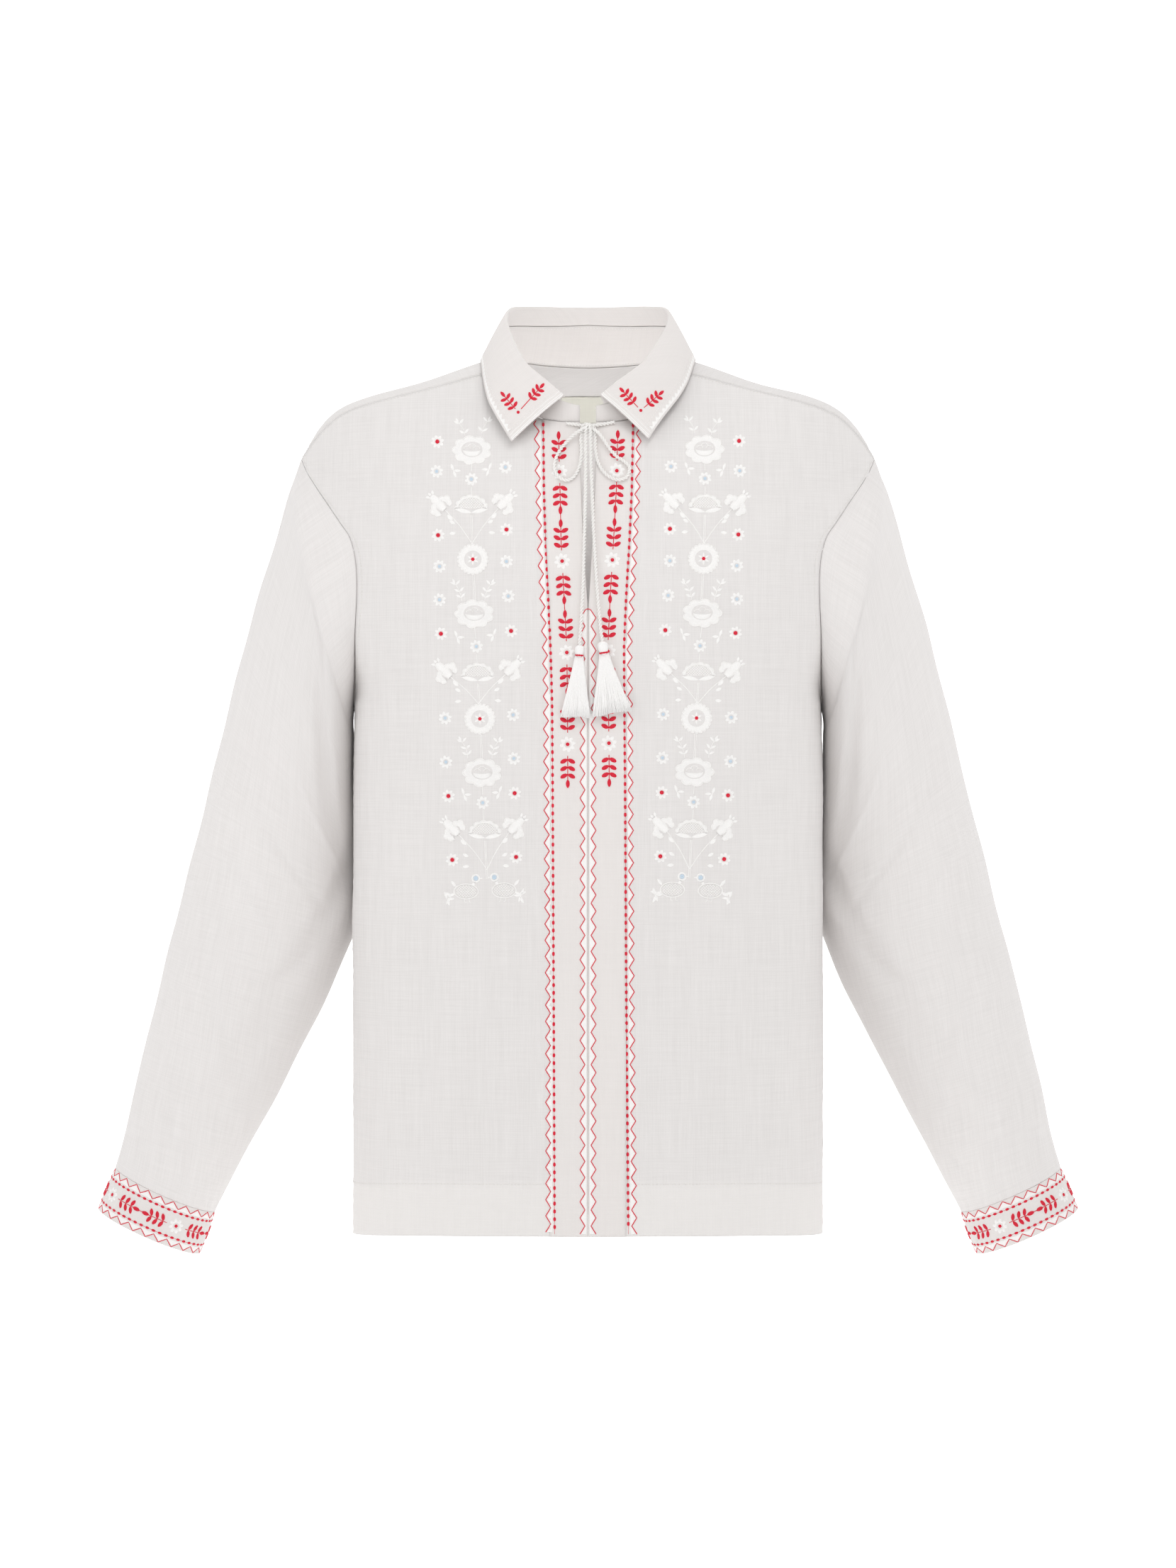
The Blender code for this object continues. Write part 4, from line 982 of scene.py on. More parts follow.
# %% [markdown]
# ## The collar and the label
# The stand goes round the neck seam and the fall turns down over it. The two sides don't lie alike: the
# wearer's left point is nearer to the middle. The label inside the back of the neck is left bare.
# %% Cuts round the neck
def neck_seam(shares):
    front_row, back_row = FRONT.cuts([0])[0], BACK.cuts([0])[0]
    turns = np.linspace(0, radians(front_row.sweep), 60)
    front = front_section(front_row, slit_half_gap(front_row.middle_z), turns)
    back = back_section(back_row, np.linspace(radians(back_row.sweep), 0, 100))
    path = np.concatenate([front, back[1:]])
    lengths = run_along(path)
    return at_lengths(path, lengths, np.asarray(shares, float) / 100 * lengths[-1])


def level_inwards(path):
    along = np.gradient(path, axis=0)
    along[:, 2] = 0
    inwards = unit(np.cross(along, UP))
    return inwards * np.sign((inwards * (np.array((0.0, -5.0, 0.0)) - path)).sum(1, keepdims=True))


def stand_top(shares):
    seam, rise = neck_seam(shares), STAND.by_share(shares)
    return seam + UP * rise.height[:, None] + level_inwards(seam) * rise.lean[:, None]


def fall_places(start, stations):
    return start + stations * (100 - start) / 100


def both_sides(left, right):
    return np.concatenate([right * (-1.0, 1.0, 1.0), left[:, -2::-1]], axis=1)


def fall_section(seat, inwards, fold, edge, bulge):
    """One cut through the fall: up from its seat, over the fold and down to its edge."""
    inner = fold + (inwards - UP) * ROLL_RADIUS * 0.8
    outer = fold + (-inwards - 0.8 * UP) * ROLL_RADIUS * 0.8
    pull = outer + (edge - outer) * 0.4 + (UP - inwards) * 0.7 * bulge
    shares = np.array((0.25, 0.5, 0.75, 1.0))[:, None]
    fall = (1 - shares) ** 2 * outer + 2 * shares * (1 - shares) * pull + shares**2 * edge
    return np.concatenate([[seat, seat * 0.4 + inner * 0.6, inner, fold, outer], fall])


COLLAR_ROWS, COLLAR_CUTS = 44, 72


def collar_half(side):
    """The cuts at the CAD model's own stations, then a fine grid through them."""
    on_stand = fall_places(FALL_START[side], FALL_STATIONS)
    inwards = level_inwards(neck_seam(on_stand))
    row = FALL.by_share(FALL_STATIONS)
    fold = spots(row.fold_x, row.fold_y, row.fold_z)
    edge = spots(row.edge_x, row.edge_y, row.edge_z)
    if side > 0:
        near = bump(FALL_STATIONS / 100 / POINT_SHIFT_REACH)[:, None]
        fold, edge = fold + near * LEFT_CORNER_SHIFT, edge + near * LEFT_POINT_SHIFT
    seat = stand_top(on_stand) + UP * 0.3 + inwards * CLOTH * 0.6
    cuts = np.array([fall_section(*cut) for cut in zip(seat, inwards, fold, edge, row.bulge)])
    fine = curve_through(cuts, np.linspace(0, len(cuts) - 1, COLLAR_CUTS))
    return curve_through(fine.transpose(1, 0, 2), np.linspace(0, 8, COLLAR_ROWS))


# %% Make the collar, its stand and the label
FALL_WALL, STAND_WALL = 1.1, 1.0
collar_points = both_sides(collar_half(1.0), collar_half(-1.0))
quiet = np.clip(np.arange(COLLAR_ROWS) / 12.0, 0, 1)[:, None] ** 2
collar_plain_normals = outward(collar_points)
collar_points = collar_points + collar_plain_normals * (slack(collar_points, 0.22, 20) * quiet)[..., None]
cloth_piece(
    "collar_fall", "collar", collar_points, FALL_WALL, firm_linen, "lined_linen"
)

halves = []
for start in FALL_START.values():
    shares = np.concatenate([np.linspace(0, start, 6)[:-1], fall_places(start, np.linspace(0, 100, COLLAR_CUTS))])
    top, bottom = stand_top(shares), neck_seam(shares) + UP * 0.45
    halves.append(np.array([top * (1 - t) + bottom * t for t in np.linspace(0, 1, 14)]))
stand_points = both_sides(*halves)
cloth_piece(
    "stand_band", "collar_stand", stand_points, STAND_WALL, firm_linen, "lined_linen",
)

LABEL_WIDTH, LABEL_TOP_Z, LABEL_BOTTOM_Z = 45.0, -27.0, -48.0
label_x = np.linspace(-LABEL_WIDTH, LABEL_WIDTH, 46) / 2
label_z = np.linspace(LABEL_TOP_Z, LABEL_BOTTOM_Z, 22)[:, None]
back_line = plain_back[:, BACK_STEPS // 2]
label_y = np.interp(-label_z, -back_line[:, 2], back_line[:, 1]) - CLOTH - LAY_GAP - 1.2
label_y = label_y - 0.0006 * label_x**2 + 0.12 * np.sin(label_x / 3.3 + label_z / 5)
cloth_piece(
    "bare_label", "label", spots(label_x, label_y, label_z), 0.45, label_finish, "label_cloth",
)


# %% [markdown]
# ## Laying stitches on cloth
# Embroidery follows the cloth that it is sewn to. Each motif is drawn flat, in pixels of the photograph or
# in millimetres round the cuff, with a height above the cloth. Then every one of its points is sent
# along the line of sight onto the cloth and lifted along the cloth's own normal.
# %% From a flat drawing to the cloth
def seen_on(*grids):
    """A function that finds the cloth behind places of the photograph, with its normals."""
    points, faces = [], []
    for grid in grids:
        faces += renumbered(grid_faces(*grid.shape[:2]), sum(len(p) for p in points))
        points.append((grid * MM).reshape(-1, 3))
    tree = BVHTree.FromPolygons(np.concatenate(points).tolist(), faces)

    def look(places):
        found, normals = np.empty((len(places), 3)), np.empty((len(places), 3))
        for n, (px, py) in enumerate(places):
            aim = Vector(((px - PHOTO_WIDTH / 2) / FOCAL, 1, (PHOTO_HEIGHT / 2 - py) / FOCAL)).normalized()
            hit, normal, _, _ = tree.ray_cast(EYE, aim)
            if hit is None:
                hit, normal, _, _ = tree.find_nearest(EYE + aim * (3.91 / aim.y))
            found[n], normals[n] = hit, normal if normal.y < 0 else -normal
        return found / MM, normals

    return look


front_view = seen_on(*(front[0] for front in fronts.values()), *bands.values())
collar_view = seen_on(collar_points)


def between(grid, row, column, closed=False):
    """The points and the normals of a grid at places between its rows and columns."""
    rows, columns = grid[0].shape[:2]
    r, c = np.clip(row.astype(int), 0, rows - 2), np.clip(column.astype(int), 0, columns - (1 if closed else 2))
    s, t = (column - c)[:, None], (row - r)[:, None]
    found = []
    for part in grid:
        upper, lower = (part[k, c] * (1 - s) + part[k, (c + 1) % columns] * s for k in (r, r + 1))
        found.append(upper * (1 - t) + lower * t)
    return found


def round_the_cuff(side):
    """The same for a cuff, by millimetres round it and down from its upper edge."""
    u, v = lengths_along(cuffs[side][0], True)
    around, deep = u[CUFF_STEPS // 2], v[:, 0]

    def look(places):
        column = np.interp(places[:, 0] % around[-1], around, range(CUFF_TURNS + 1)) % CUFF_TURNS
        row = np.interp(places[:, 1], deep, range(len(deep)))
        found, normals = between(cuffs[side], row, column, closed=True)
        return found, unit(normals)

    return look, float(around[-1]), float(deep[-1])


def row_beside(grid, column, distance, first=0, last=None):
    """A line a distance in from a grid's first or last column, with the normals there."""
    step = 1 if column == 0 else -1
    line = []
    for points, normals in zip(*(part[first:last, ::step] for part in grid)):
        both = np.concatenate([points, normals], axis=1)
        line.append(at_lengths(both, run_along(points), [distance])[0])
    return np.hsplit(np.array(line), 2)


def row_above(grid, distance, column=-1):
    """A line a distance in from the last row of a grid, or from its first."""
    return row_beside(crosswise(grid), column, distance)


def along_edge(grid, deepest, step=0.6):
    """The cloth beside a grid's last row, by millimetres along that edge and in from it."""
    depths = np.arange(0.3, deepest + step, step)
    near = [np.stack(part) for part in zip(*(row_above(grid, depth) for depth in depths))]
    run = run_along(near[0][0])

    def look(places):
        column = np.interp(places[:, 0], run, range(len(run)))
        return between(near, np.interp(places[:, 1], depths, range(len(depths))), column)

    return look, run[-1]


def placed(shape, at=(0, 0), turn=0.0, mirror=1.0):
    """A flat shape, turned, then mirrored and put in its place."""
    points, heights, faces = shape
    c, s = cos(radians(turn)), sin(radians(turn))
    x, y = points.T
    return spots(x * c - y * s, x * s + y * c) * (mirror, 1.0) + np.asarray(at, float), heights, faces


def flipped(parts, x, y):
    return [(points * (x, y), heights, faces) for points, heights, faces in parts]


class Stitching:
    """Stitches of one thread on one cloth: flat shapes, gathered and then laid down as one mesh."""

    def __init__(self):
        self.flat, self.heights, self.faces, self.count = [], [], [], 0

    def add(self, shape, at=(0, 0), turn=0.0, mirror=1.0):
        points, heights, faces = placed(shape, at, turn, mirror)
        self.flat.append(points)
        self.heights.append(heights)
        self.faces.append(np.asarray(faces) + self.count)
        self.count += len(points)

    def lay(self, name, look, finish, slot):
        places, normals = look(np.concatenate(self.flat))
        faces = np.concatenate(self.faces)
        points = places + normals * np.concatenate(self.heights)[:, None]
        a, b, c = points[faces[:, 0]], points[faces[:, 1]], points[faces[:, 2]]
        wrong = (np.cross(b - a, c - a) * normals[faces[:, 0]]).sum(1) < 0
        faces[wrong] = faces[wrong][:, ::-1]
        print(name, "points", len(points), "faces", len(faces))
        return dress(new_mesh(name, points, faces.tolist()), finish, slot)


# %% [markdown]
# ## Stitch shapes
# Satin stitch is a row of threads laid side by side over a leaf or a petal, so it stands up like a small
# cushion with a fine rib for every thread. One shape is modelled and then copied, turned and scaled. It
# starts as a flat grid, which Blender makes, and its points are then moved. Every rim is sunk in the cloth.
# %% A strip of satin between two lines
RIM = -0.08


def flat_grid(along, across):
    """Blender's own grid, as places from 0 to 1 along it and -1 to 1 across it, with its faces."""
    bpy.ops.mesh.primitive_grid_add(x_subdivisions=along, y_subdivisions=across, size=2)
    made = bpy.context.object
    places = np.array([tuple(v.co)[:2] for v in made.data.vertices])
    faces = np.array([tuple(f.vertices) for f in made.data.polygons])
    bpy.data.objects.remove(made)
    return (places[:, 0] + 1) / 2, places[:, 1], faces


def satin(first, second, height, ribs, across=4):
    """A satin strip between two lines of points, with a rib for each thread across it."""
    along = len(first) - 1
    t, s, faces = flat_grid(along, across)
    index = np.rint(t * along).astype(int)
    share = ((s + 1) / 2)[:, None]
    rib = 1 + 0.3 * np.cos(2 * pi * t * ribs) if ribs else 1
    heights = np.where(np.abs(s) > 0.999, RIM, height * np.sqrt(np.clip(1 - s**2, 0, 1)) * rib)
    return first[index] * (1 - share) + second[index] * share, heights, faces


def leaf(length, width, height, blunt=0.8, ribs=0, along=8, across=4):
    """A satin leaf from its stalk end at the origin along +x."""
    t = np.linspace(0, 1, along + 1)
    half = width / 2 * np.maximum(np.sin(pi * t) ** blunt, 0.10)
    points, heights, faces = satin(spots(t * length, -half), spots(t * length, half), height, ribs, across)
    edge = np.minimum(points[:, 0], length - points[:, 0]) / (0.12 * length)
    return points, np.where(edge < 0.01, RIM, heights * np.clip(0.55 + 0.45 * edge, 0, 1)), faces


def small_leaf(length, width, height, blunt=0.8, along=6):
    return leaf(length, width, height, blunt, along=along, across=3)


def knot_dot(radius, height, around=10):
    """A French knot or a round satin dot, as a small dome."""
    shares, ups = np.array(((1.0, RIM), (0.92, 0.45 * height), (0.6, 0.9 * height), (0.12, height))).T
    points = radius * shares[:, None, None] * spots(np.cos(turns_round(around)), np.sin(turns_round(around)))
    return points.reshape(-1, 2), np.repeat(ups, around), grid_faces(len(ups), around, closed=True)


def couched(points, width, height, step=None):
    """A single thread laid and held down along a line: a low half-round rib."""
    points = np.asarray(points, float)
    if step:
        points = evenly(points, step)
    along = directions(points)
    aside = spots(-along[:, 1], along[:, 0]) * width / 2
    profile = ((-1, RIM), (-0.72, 0.72 * height), (0, height), (0.72, 0.72 * height), (1, RIM))
    flat = np.stack([points + aside * share for share, _ in profile], axis=1).reshape(-1, 2)
    return flat, np.tile([up for _, up in profile], len(points)), grid_faces(len(points), len(profile))


def filled(base, line, height, across=3):
    """Satin between a plain line and an even zigzag, with two points to each thread."""
    return satin(base, line, height, len(line) / 2.0, across)


# %% [markdown]
# ## Red embroidery of the bands
# Down each band runs a column of sprays: a bud and three pairs of leaves, mirrored above and below small
# white flowers. Dashes run along the band's outer seam. Outside them a zigzag holds a white satin edge, and
# below the slit two more zigzags go down to the hem on both sides of the seam.
# %% Where the bands' motifs are
red_leaf = leaf(11.0, 6.4, 0.8, 0.5, ribs=4.5, along=18)
red_bud = leaf(12.0, 5.8, 0.85, 0.6, ribs=5, along=20)
# Heights in the picture: (bud, pairs of leaves), a bud that points up has its leaves below it.
SPRAYS = (
    (614.0, (624.5, 634.5, 644.5), 1), (720.0, (688.5, 699.0, 709.5), -1), (738.0, (748.5, 759.0, 769.5), 1),
    (847.0, (815.5, 826.0, 836.5), -1), (866.0, (876.5, 887.0, 897.5), 1), (976.0, (944.5, 955.0, 965.5), -1),
    (995.0, (1005.5, 1016.0, 1026.5), 1), (1106.0, (1073.5, 1084.0, 1094.5), -1),
)
JOINED_BUDS = ((720, 738), (847, 866), (976, 995))
BAND_FLOWERS = (665.6, 791.5, 920.5, 1050.0)
BAND_TOP, ARCH_TOP, HEM_LINE, MIDDLE_X = 594.5, 859.0, 1741, 829.5
COLUMN_TABLE = {
    "py": (590, 613, 690, 763, 838, 913, 990, 1110, 1400, 1745),
    "spray_left": (788, 788, 790, 791.5, 795.5, 799.5, 800.5, 801, 801, 801),
    "spray_right": (872, 871.5, 869.5, 865.5, 861, 857.5, 858.5, 859.5, 860, 860),
    "dash_left": (766, 766.6, 767.2, 769.5, 773, 776.5, 778.8, 779.6, 781, 782.5),
    "dash_right": (893.5, 893, 891.3, 888, 883.5, 880.3, 880.8, 881.8, 883.5, 886.5),
    "zigzag_left": (756, 757.3, 759, 761, 764.6, 768.6, 770, 770.6, 773, 773.5),
    "zigzag_right": (901.5, 901, 899.4, 896, 892, 888, 889, 889.6, 891.3, 895),
}
# Which repeat stands at which height: the rows were sewn a little tighter near the neck.
DASHES = {"left": ((-1, 599.1), (0, 609.7), (48, 1125.5), (103, 1731)),
          "right": ((0, 600.2), (49, 1127.6), (104, 1726.5))}
ZIGZAGS = {"left": ((-1, 598.3), (0, 608.4), (14, 763.8), (46, 1131.9), (99, 1738.2)),
           "right": ((-2, 601.3), (0, 622.7), (12, 750.4), (46, 1126), (100, 1741))}
INNER_ZIGZAG = ((0, 871.7), (22, 1126), (76, 1741))


def column_x(name, py):
    return np.interp(py, COLUMN_TABLE["py"], COLUMN_TABLE[name])


def down(name, ys):
    """Places down one of the columns."""
    return spots(column_x(name, ys), ys)


def heights_of(table):
    """Heights in the picture of every repeat in a row, from those of a few of them."""
    numbers, heights = zip(*table)
    return np.interp(np.arange(numbers[0], numbers[-1] + 1), numbers, heights)


def to_and_fro(count, reach, start=1):
    """How far the corners of a zigzag stand to its sides."""
    return reach / 2 * start * (-1.0) ** np.arange(count)


def finely(points, step):
    """The same corners, with more points on each straight run."""
    out = [points[:1]]
    for a, b in zip(points, points[1:]):
        n = max(1, int(np.ceil(np.hypot(*(b - a)) / step)))
        out.append(a + (b - a) * (np.arange(1, n + 1) / n)[:, None])
    return np.concatenate(out)


# %% Star flowers
def star_flower(radius, hole, petals=8, height=0.42):
    """A small flower of pointed satin petals round an open eye."""
    angles = np.linspace(0, 2 * pi, petals * 4 + 1) + pi / petals
    wave = np.abs(np.cos(petals * (angles - pi / petals) / 2))
    ring = spots(np.cos(angles), np.sin(angles))
    return satin(hole * ring, (radius * (0.66 + 0.34 * wave**1.3))[:, None] * ring, height, petals * 2, 3)


dash = leaf(6.4, 4.1, 0.62, 0.3, along=6)
band_star = star_flower(12.0, 4.6)
small_star = star_flower(10.0, 3.6)

# %% Sew the bands
red_bands, white_bands = Stitching(), Stitching()
for name, out, shift in (("left", -1, 0.0), ("right", 1, -1.6)):
    column, dashes, border = "spray_" + name, "dash_" + name, "zigzag_" + name
    for bud, pairs, points_up in SPRAYS:
        red_bands.add(red_bud, down(column, bud + shift) + (0, 6.2 * points_up), turn=-90 * points_up)
        for pair in pairs:
            for hand in (-1, 1):
                at = down(column, pair + shift) + (0.6 * hand, 2.2 * points_up)
                red_bands.add(red_leaf, at, turn=-27 * points_up, mirror=hand)
        last = pairs[-1] if points_up > 0 else pairs[0]
        ys = np.linspace(bud + shift, last + shift + 7 * points_up, 12)
        red_bands.add(couched(down(column, ys), 1.25, 0.3))
    for top, bottom in JOINED_BUDS:
        red_bands.add(couched(down(column, np.linspace(top + shift, bottom + shift, 6)), 1.1, 0.3))
    for y in BAND_FLOWERS:
        white_bands.add(band_star, down(column, y + shift), turn=11)
        red_bands.add(knot_dot(2.7, 0.75), down(column, y + shift))
    for y in heights_of(DASHES[name]):
        red_bands.add(dash, down(dashes, y) - (0, 3.2), turn=90)
    red_bands.add(couched(down(dashes, np.linspace(BAND_TOP, HEM_LINE, 240)), 0.5, 0.12))
    rows = heights_of(ZIGZAGS[name])
    corners = down(border, rows) + spots(to_and_fro(len(rows), 7.2, out), 0)
    corners = np.concatenate([[down(border, BAND_TOP - 1.1)], corners])
    red_bands.add(couched(finely(corners, 4.0), 1.35, 0.42))
    fine = evenly(corners, 2.2)
    white_bands.add(filled(down(dashes, fine[:, 1]) + (2.6 * out, 0), fine - (0.5 * out, 0), 0.3))

for hand in (-1, 1):
    rows = heights_of(INNER_ZIGZAG)
    start = np.array([(MIDDLE_X + hand * 0.9, ARCH_TOP), (MIDDLE_X + hand * 3.6, ARCH_TOP + 1.2)])
    corners = spots(MIDDLE_X + hand * 7.8 + to_and_fro(len(rows), 7.0, hand), rows)
    red_bands.add(couched(finely(np.concatenate([start, corners]), 4.0), 1.3, 0.42))
    fine = evenly(np.concatenate([start[1:], corners]), 2.2)
    white_bands.add(filled(spots(MIDDLE_X + hand * 2.0, fine[:, 1]), fine - (0.5 * hand, 0), 0.3))
red_bands.add(couched([(MIDDLE_X - 0.9, ARCH_TOP), (MIDDLE_X + 0.9, ARCH_TOP)], 1.3, 0.42))
red_bands.lay("red_band_stitches", front_view, red_thread, "lined_linen")
white_bands.lay("white_band_stitches", front_view, white_thread, "lined_linen")


# %% [markdown]
# ## White embroidery of the fronts
# A tall column of white flowers stands beside each band: roses, carnations with an openwork net, daisies,
# bell flowers, leafy sprigs and two small birds at the foot. White on white reads by its relief alone, so
# each shape is raised satin with a thin corded outline. All are ordinary folk motifs drawn from formulas.
# %% Flowers of the white work
def loop(width, height, lobes=0, scallop=0.0, steps=96, phase=0.0, start=0.0, end=2 * pi):
    """Points of an oval, or of part of it, whose edge may be scalloped."""
    angles = np.linspace(start, end, steps + 1)
    r = 1 + scallop * (np.abs(np.sin(lobes * (angles + phase) / 2)) - 0.6)
    return spots(width / 2 * r * np.cos(angles), height / 2 * r * np.sin(angles))


def net(reach, pitch, rows, oval_half, lowest, width):
    """Threads that cross inside an oval, down to a line."""
    parts = []
    run = np.linspace(-reach, reach, 2 * reach + 1) * 0.707
    for k in range(-rows, rows + 1):
        for lean in (-1, 1):
            line = spots(run + k * pitch, lean * run)
            line = line[(((line / oval_half) ** 2).sum(1) < 1) & (line[:, 1] < lowest)]
            if len(line) > 2:
                parts.append(couched(line, width, 0.34, step=4.0))
    return parts


def rose(w=52.0, h=38.0):
    """An open rose: a scalloped ring of petals round a bowl with a small net of a heart."""
    outer, inner = loop(w, h, 9, 0.16), loop(w * 0.56, h * 0.56) - (0, 0.03 * h)
    bowl = {"start": 0.05 * pi, "end": 0.95 * pi, "steps": 24}
    low, high = (loop(w * 0.50, h * tall, **bowl) - (0, 0.02 * h) for tall in (0.50, 0.12))
    parts = [satin(inner, outer, 0.55, 48), couched(outer, 1.3, 0.62), satin(high, low, 0.5, 12)]
    for dx, dy, size in ((-0.13, -0.10, 0.17), (0.13, -0.10, 0.17), (0.0, -0.17, 0.2)):
        arch = loop(w * size, h * size * 1.15, start=pi, end=2 * pi, steps=12)
        parts.append(placed(couched(arch, 1.0, 0.4), (dx * w, dy * h + 2)))
    return parts


def carnation(w=45.0, h=27.0):
    """A fan with a scalloped top, an openwork net inside it and two long sepals below."""
    edge = loop(w, h * 1.35, 13, 0.10, start=pi, end=2 * pi, steps=60) + (0, 4)
    within = loop(w * 0.80, h * 1.35 * 0.74, start=pi, end=2 * pi, steps=60) + (0, 3)
    parts = [satin(within, edge, 0.5, 26, 3), couched(edge, 1.1, 0.55)]
    parts += [placed(part, (0, 3)) for part in net(20, 3.6, 7, (w * 0.40, h * 0.50), 1.5, 0.95)]
    for hand in (-1, 1):
        sepal = leaf(24.0, 6.4, 0.6, 0.75, ribs=9, along=12)
        parts.append(placed(sepal, (0, h * 0.38), turn=-13, mirror=hand))
    return parts


def bell(length=27.0, width=12.0):
    """A bell flower that points along +x: a ribbed tube with three teeth and two lobed side petals."""
    t = np.linspace(0, 1, 13)
    half = width / 2 * (0.45 + 0.55 * np.sin(pi * (t * 0.86 + 0.07)))
    low, high = spots(t * length, -half), spots(t * length, half)
    parts = [satin(low, high, 0.55, 6), couched(low, 1.0, 0.5), couched(high, 1.0, 0.5)]
    for turn in (-34, 0, 34):
        parts.append(placed(small_leaf(7.5, 4.0, 0.5, along=5), (length - 1, turn / 34 * 2.6), turn=turn))
    lobe = {"start": -0.56 * pi, "end": 0.56 * pi, "steps": 36}
    fan, heart = loop(20, 18, 5, 0.24, phase=pi / 5, **lobe), loop(3, 7, **lobe) - (1.0, 0)
    petal = [placed(part, (7.5, 7.0), turn=72) for part in (satin(heart, fan, 0.45, 12, 3), couched(fan, 1.0, 0.5))]
    return parts + flipped(petal, 1, -1) + petal


def daisy(size=42.0):
    """A round daisy: radial satin with a scalloped edge, and a six-pointed star in its eye."""
    outer, inner = loop(size, size, 22, 0.09, steps=132), loop(size * 0.56, size * 0.56, steps=132)
    parts = [satin(inner, outer, 0.5, 44, 3), couched(outer, 1.1, 0.55)]
    return parts + [placed(small_leaf(9.0, 3.2, 0.4, along=5), turn=60 * k + 30) for k in range(6)]


white_leaf = small_leaf(9.0, 3.6, 0.5)


def spray(leaves, curl):
    """A stem with pairs of small leaves and one at its end, drawn upwards from the origin."""
    t = np.linspace(0, 1, 16)
    stem = spots(curl * t**2 * 9, -t * (6 + 6.2 * leaves))
    parts = [couched(stem, 0.9, 0.3)]
    for k in range(leaves):
        for hand in (-1, 1):
            at = stem[int(3 + 11 * k / max(leaves - 1, 1))]
            parts.append(placed(white_leaf, at, turn=-90 + hand * 52 + curl * 12))
    return parts + [placed(white_leaf, stem[-1] + (0, 1), turn=-90 + curl * 26)]


def sprig(curl):
    """Three leaves on a short stalk."""
    parts = [couched([(0, 6), (curl * 1.5, 0), (curl * 5, -5)], 0.9, 0.3, step=2.5)]
    for turn in (-90 + curl * 20, 180 if curl > 0 else 0, 70 if curl < 0 else 110):
        parts.append(placed(small_leaf(10.5, 4.2, 0.5), (curl * 1.2, 0), turn=turn))
    return parts


def bird(facing):
    """A small bird: an oval body in net stitch, with a tail, two legs, a wing line, a neck, a head and a beak."""
    parts = [couched(loop(34, 21, steps=48), 1.5, 0.55), *net(16, 3.8, 6, (14, 9.3), np.inf, 0.9)]
    for x, y, turn in ((-15, 2, 150), (-22, 8, 120), (-20, 6, 200), (-14, -6, 232)):
        parts.append(placed(small_leaf(12.0, 4.4, 0.5, 0.7), (x, y), turn=turn))
    for x in (-3, 4):
        parts.append(couched([(x, 9), (x + 0.8, 15), (x + 3.4, 16)], 0.9, 0.3, step=2.5))
    parts.append(couched(loop(15, 8, start=0.1 * pi, end=0.95 * pi, steps=12) - (2, 3), 1.1, 0.6))
    head = satin(loop(7.2, 7.2, steps=24), loop(12.6, 12.6, steps=24), 0.5, 12, 3)
    beak = placed(small_leaf(5.0, 2.0, 0.4, along=4), turn=0 if facing > 0 else 180)
    neck = couched([(9 * facing, -8), (11.5 * facing, -12)], 4.2, 0.5)
    return [
        *flipped(parts, facing, 1), placed(head, (13.6 * facing, -18.5)), neck,
        placed(beak, (18.5 * facing, -18.5)),
    ]


# %% [markdown]
# The motifs are set out once for the wearer's right side, as seen on the left of the picture, and mirrored
# for the other. The column leans a little, as its panel does.
# %% Set out the white work
ROSES = ((665.7, 635.0), (669.0, 866.0), (680.0, 1090.0))
CARNATIONS = ((665.0, 713.0), (674.0, 950.0), (684.0, 1172.0))
DAISIES = ((667.0, 789.0), (677.0, 1014.0))
RED_EYES = ((617, 623), (618, 755), (714.5, 747), (622, 894), (721, 890), (632.5, 1123), (726, 1119),
            (638, 1213), (728, 1209))
BLUE_EYES = ((616, 665), (713, 659), (665, 676), (620, 799), (714.5, 792), (620, 846), (717, 841), (672, 912),
             (628, 1013), (724, 1008.5), (629, 1075), (725, 1070), (681, 1132.5))
BELLS = ((619, 710), (712, 707.5), (627, 946), (722, 942), (638, 1168), (727, 1165))
JOINTS = ((666, 765), (675, 991), (687, 1225))
SPRAY_FEET = ((651, 848, 3, -1), (684, 848, 3, 1), (660, 1070, 3, -1), (694, 1070, 3, 1),
              (656, 615, 2, -1), (680, 612, 2, 1))
SPRIGS = ((641, 664, -1), (688.5, 662, 1), (646, 899, -1), (695, 896, 1), (656, 1121, -1), (703, 1118, 1),
          (632, 1268, -1), (734, 1263, 1))
LONE_LEAVES = ((642, 739, -150), (643, 752, 175), (688, 738, -30), (689, 751, 5),
               (650, 976, -150), (651, 989, 175), (697, 975, -30), (698, 988, 5),
               (661, 1209, -150), (662, 1222, 175), (708, 1208, -30), (709, 1221, 5))
BIRDS = ((657.6, 1257.5, 1), (711.0, 1256.0, -1))
STEMS = (
    ((665.7, 654), (665.2, 665)), ((665, 687), (665, 702)), ((664.2, 727), (665.2, 769)),
    ((666.2, 727), (667.2, 769)), ((667.0, 810), (668.5, 848)), ((669.2, 810), (670.7, 848)),
    ((669.5, 885), (671.5, 901)), ((672.5, 923), (673.5, 938)), ((673.4, 964), (675.6, 994)),
    ((675.2, 964), (677.6, 994)), ((677.3, 1036), (678.6, 1071)), ((679.5, 1036), (680.8, 1071)),
    ((680.3, 1109), (681.0, 1121)), ((681.6, 1143), (683.0, 1160)), ((683.4, 1186), (686.2, 1240)),
    ((685.2, 1186), (688.4, 1240)),
)
white_work, red_eyes, blue_eyes = Stitching(), Stitching(), Stitching()
MOTIFS = [(parts, spot) for parts, places in ((rose(), ROSES), (carnation(), CARNATIONS), (daisy(), DAISIES))
          for spot in places]
MOTIFS += [([placed(small_star, turn=8)], spot) for spot in (*RED_EYES, *BLUE_EYES)]
bell_parts = bell()
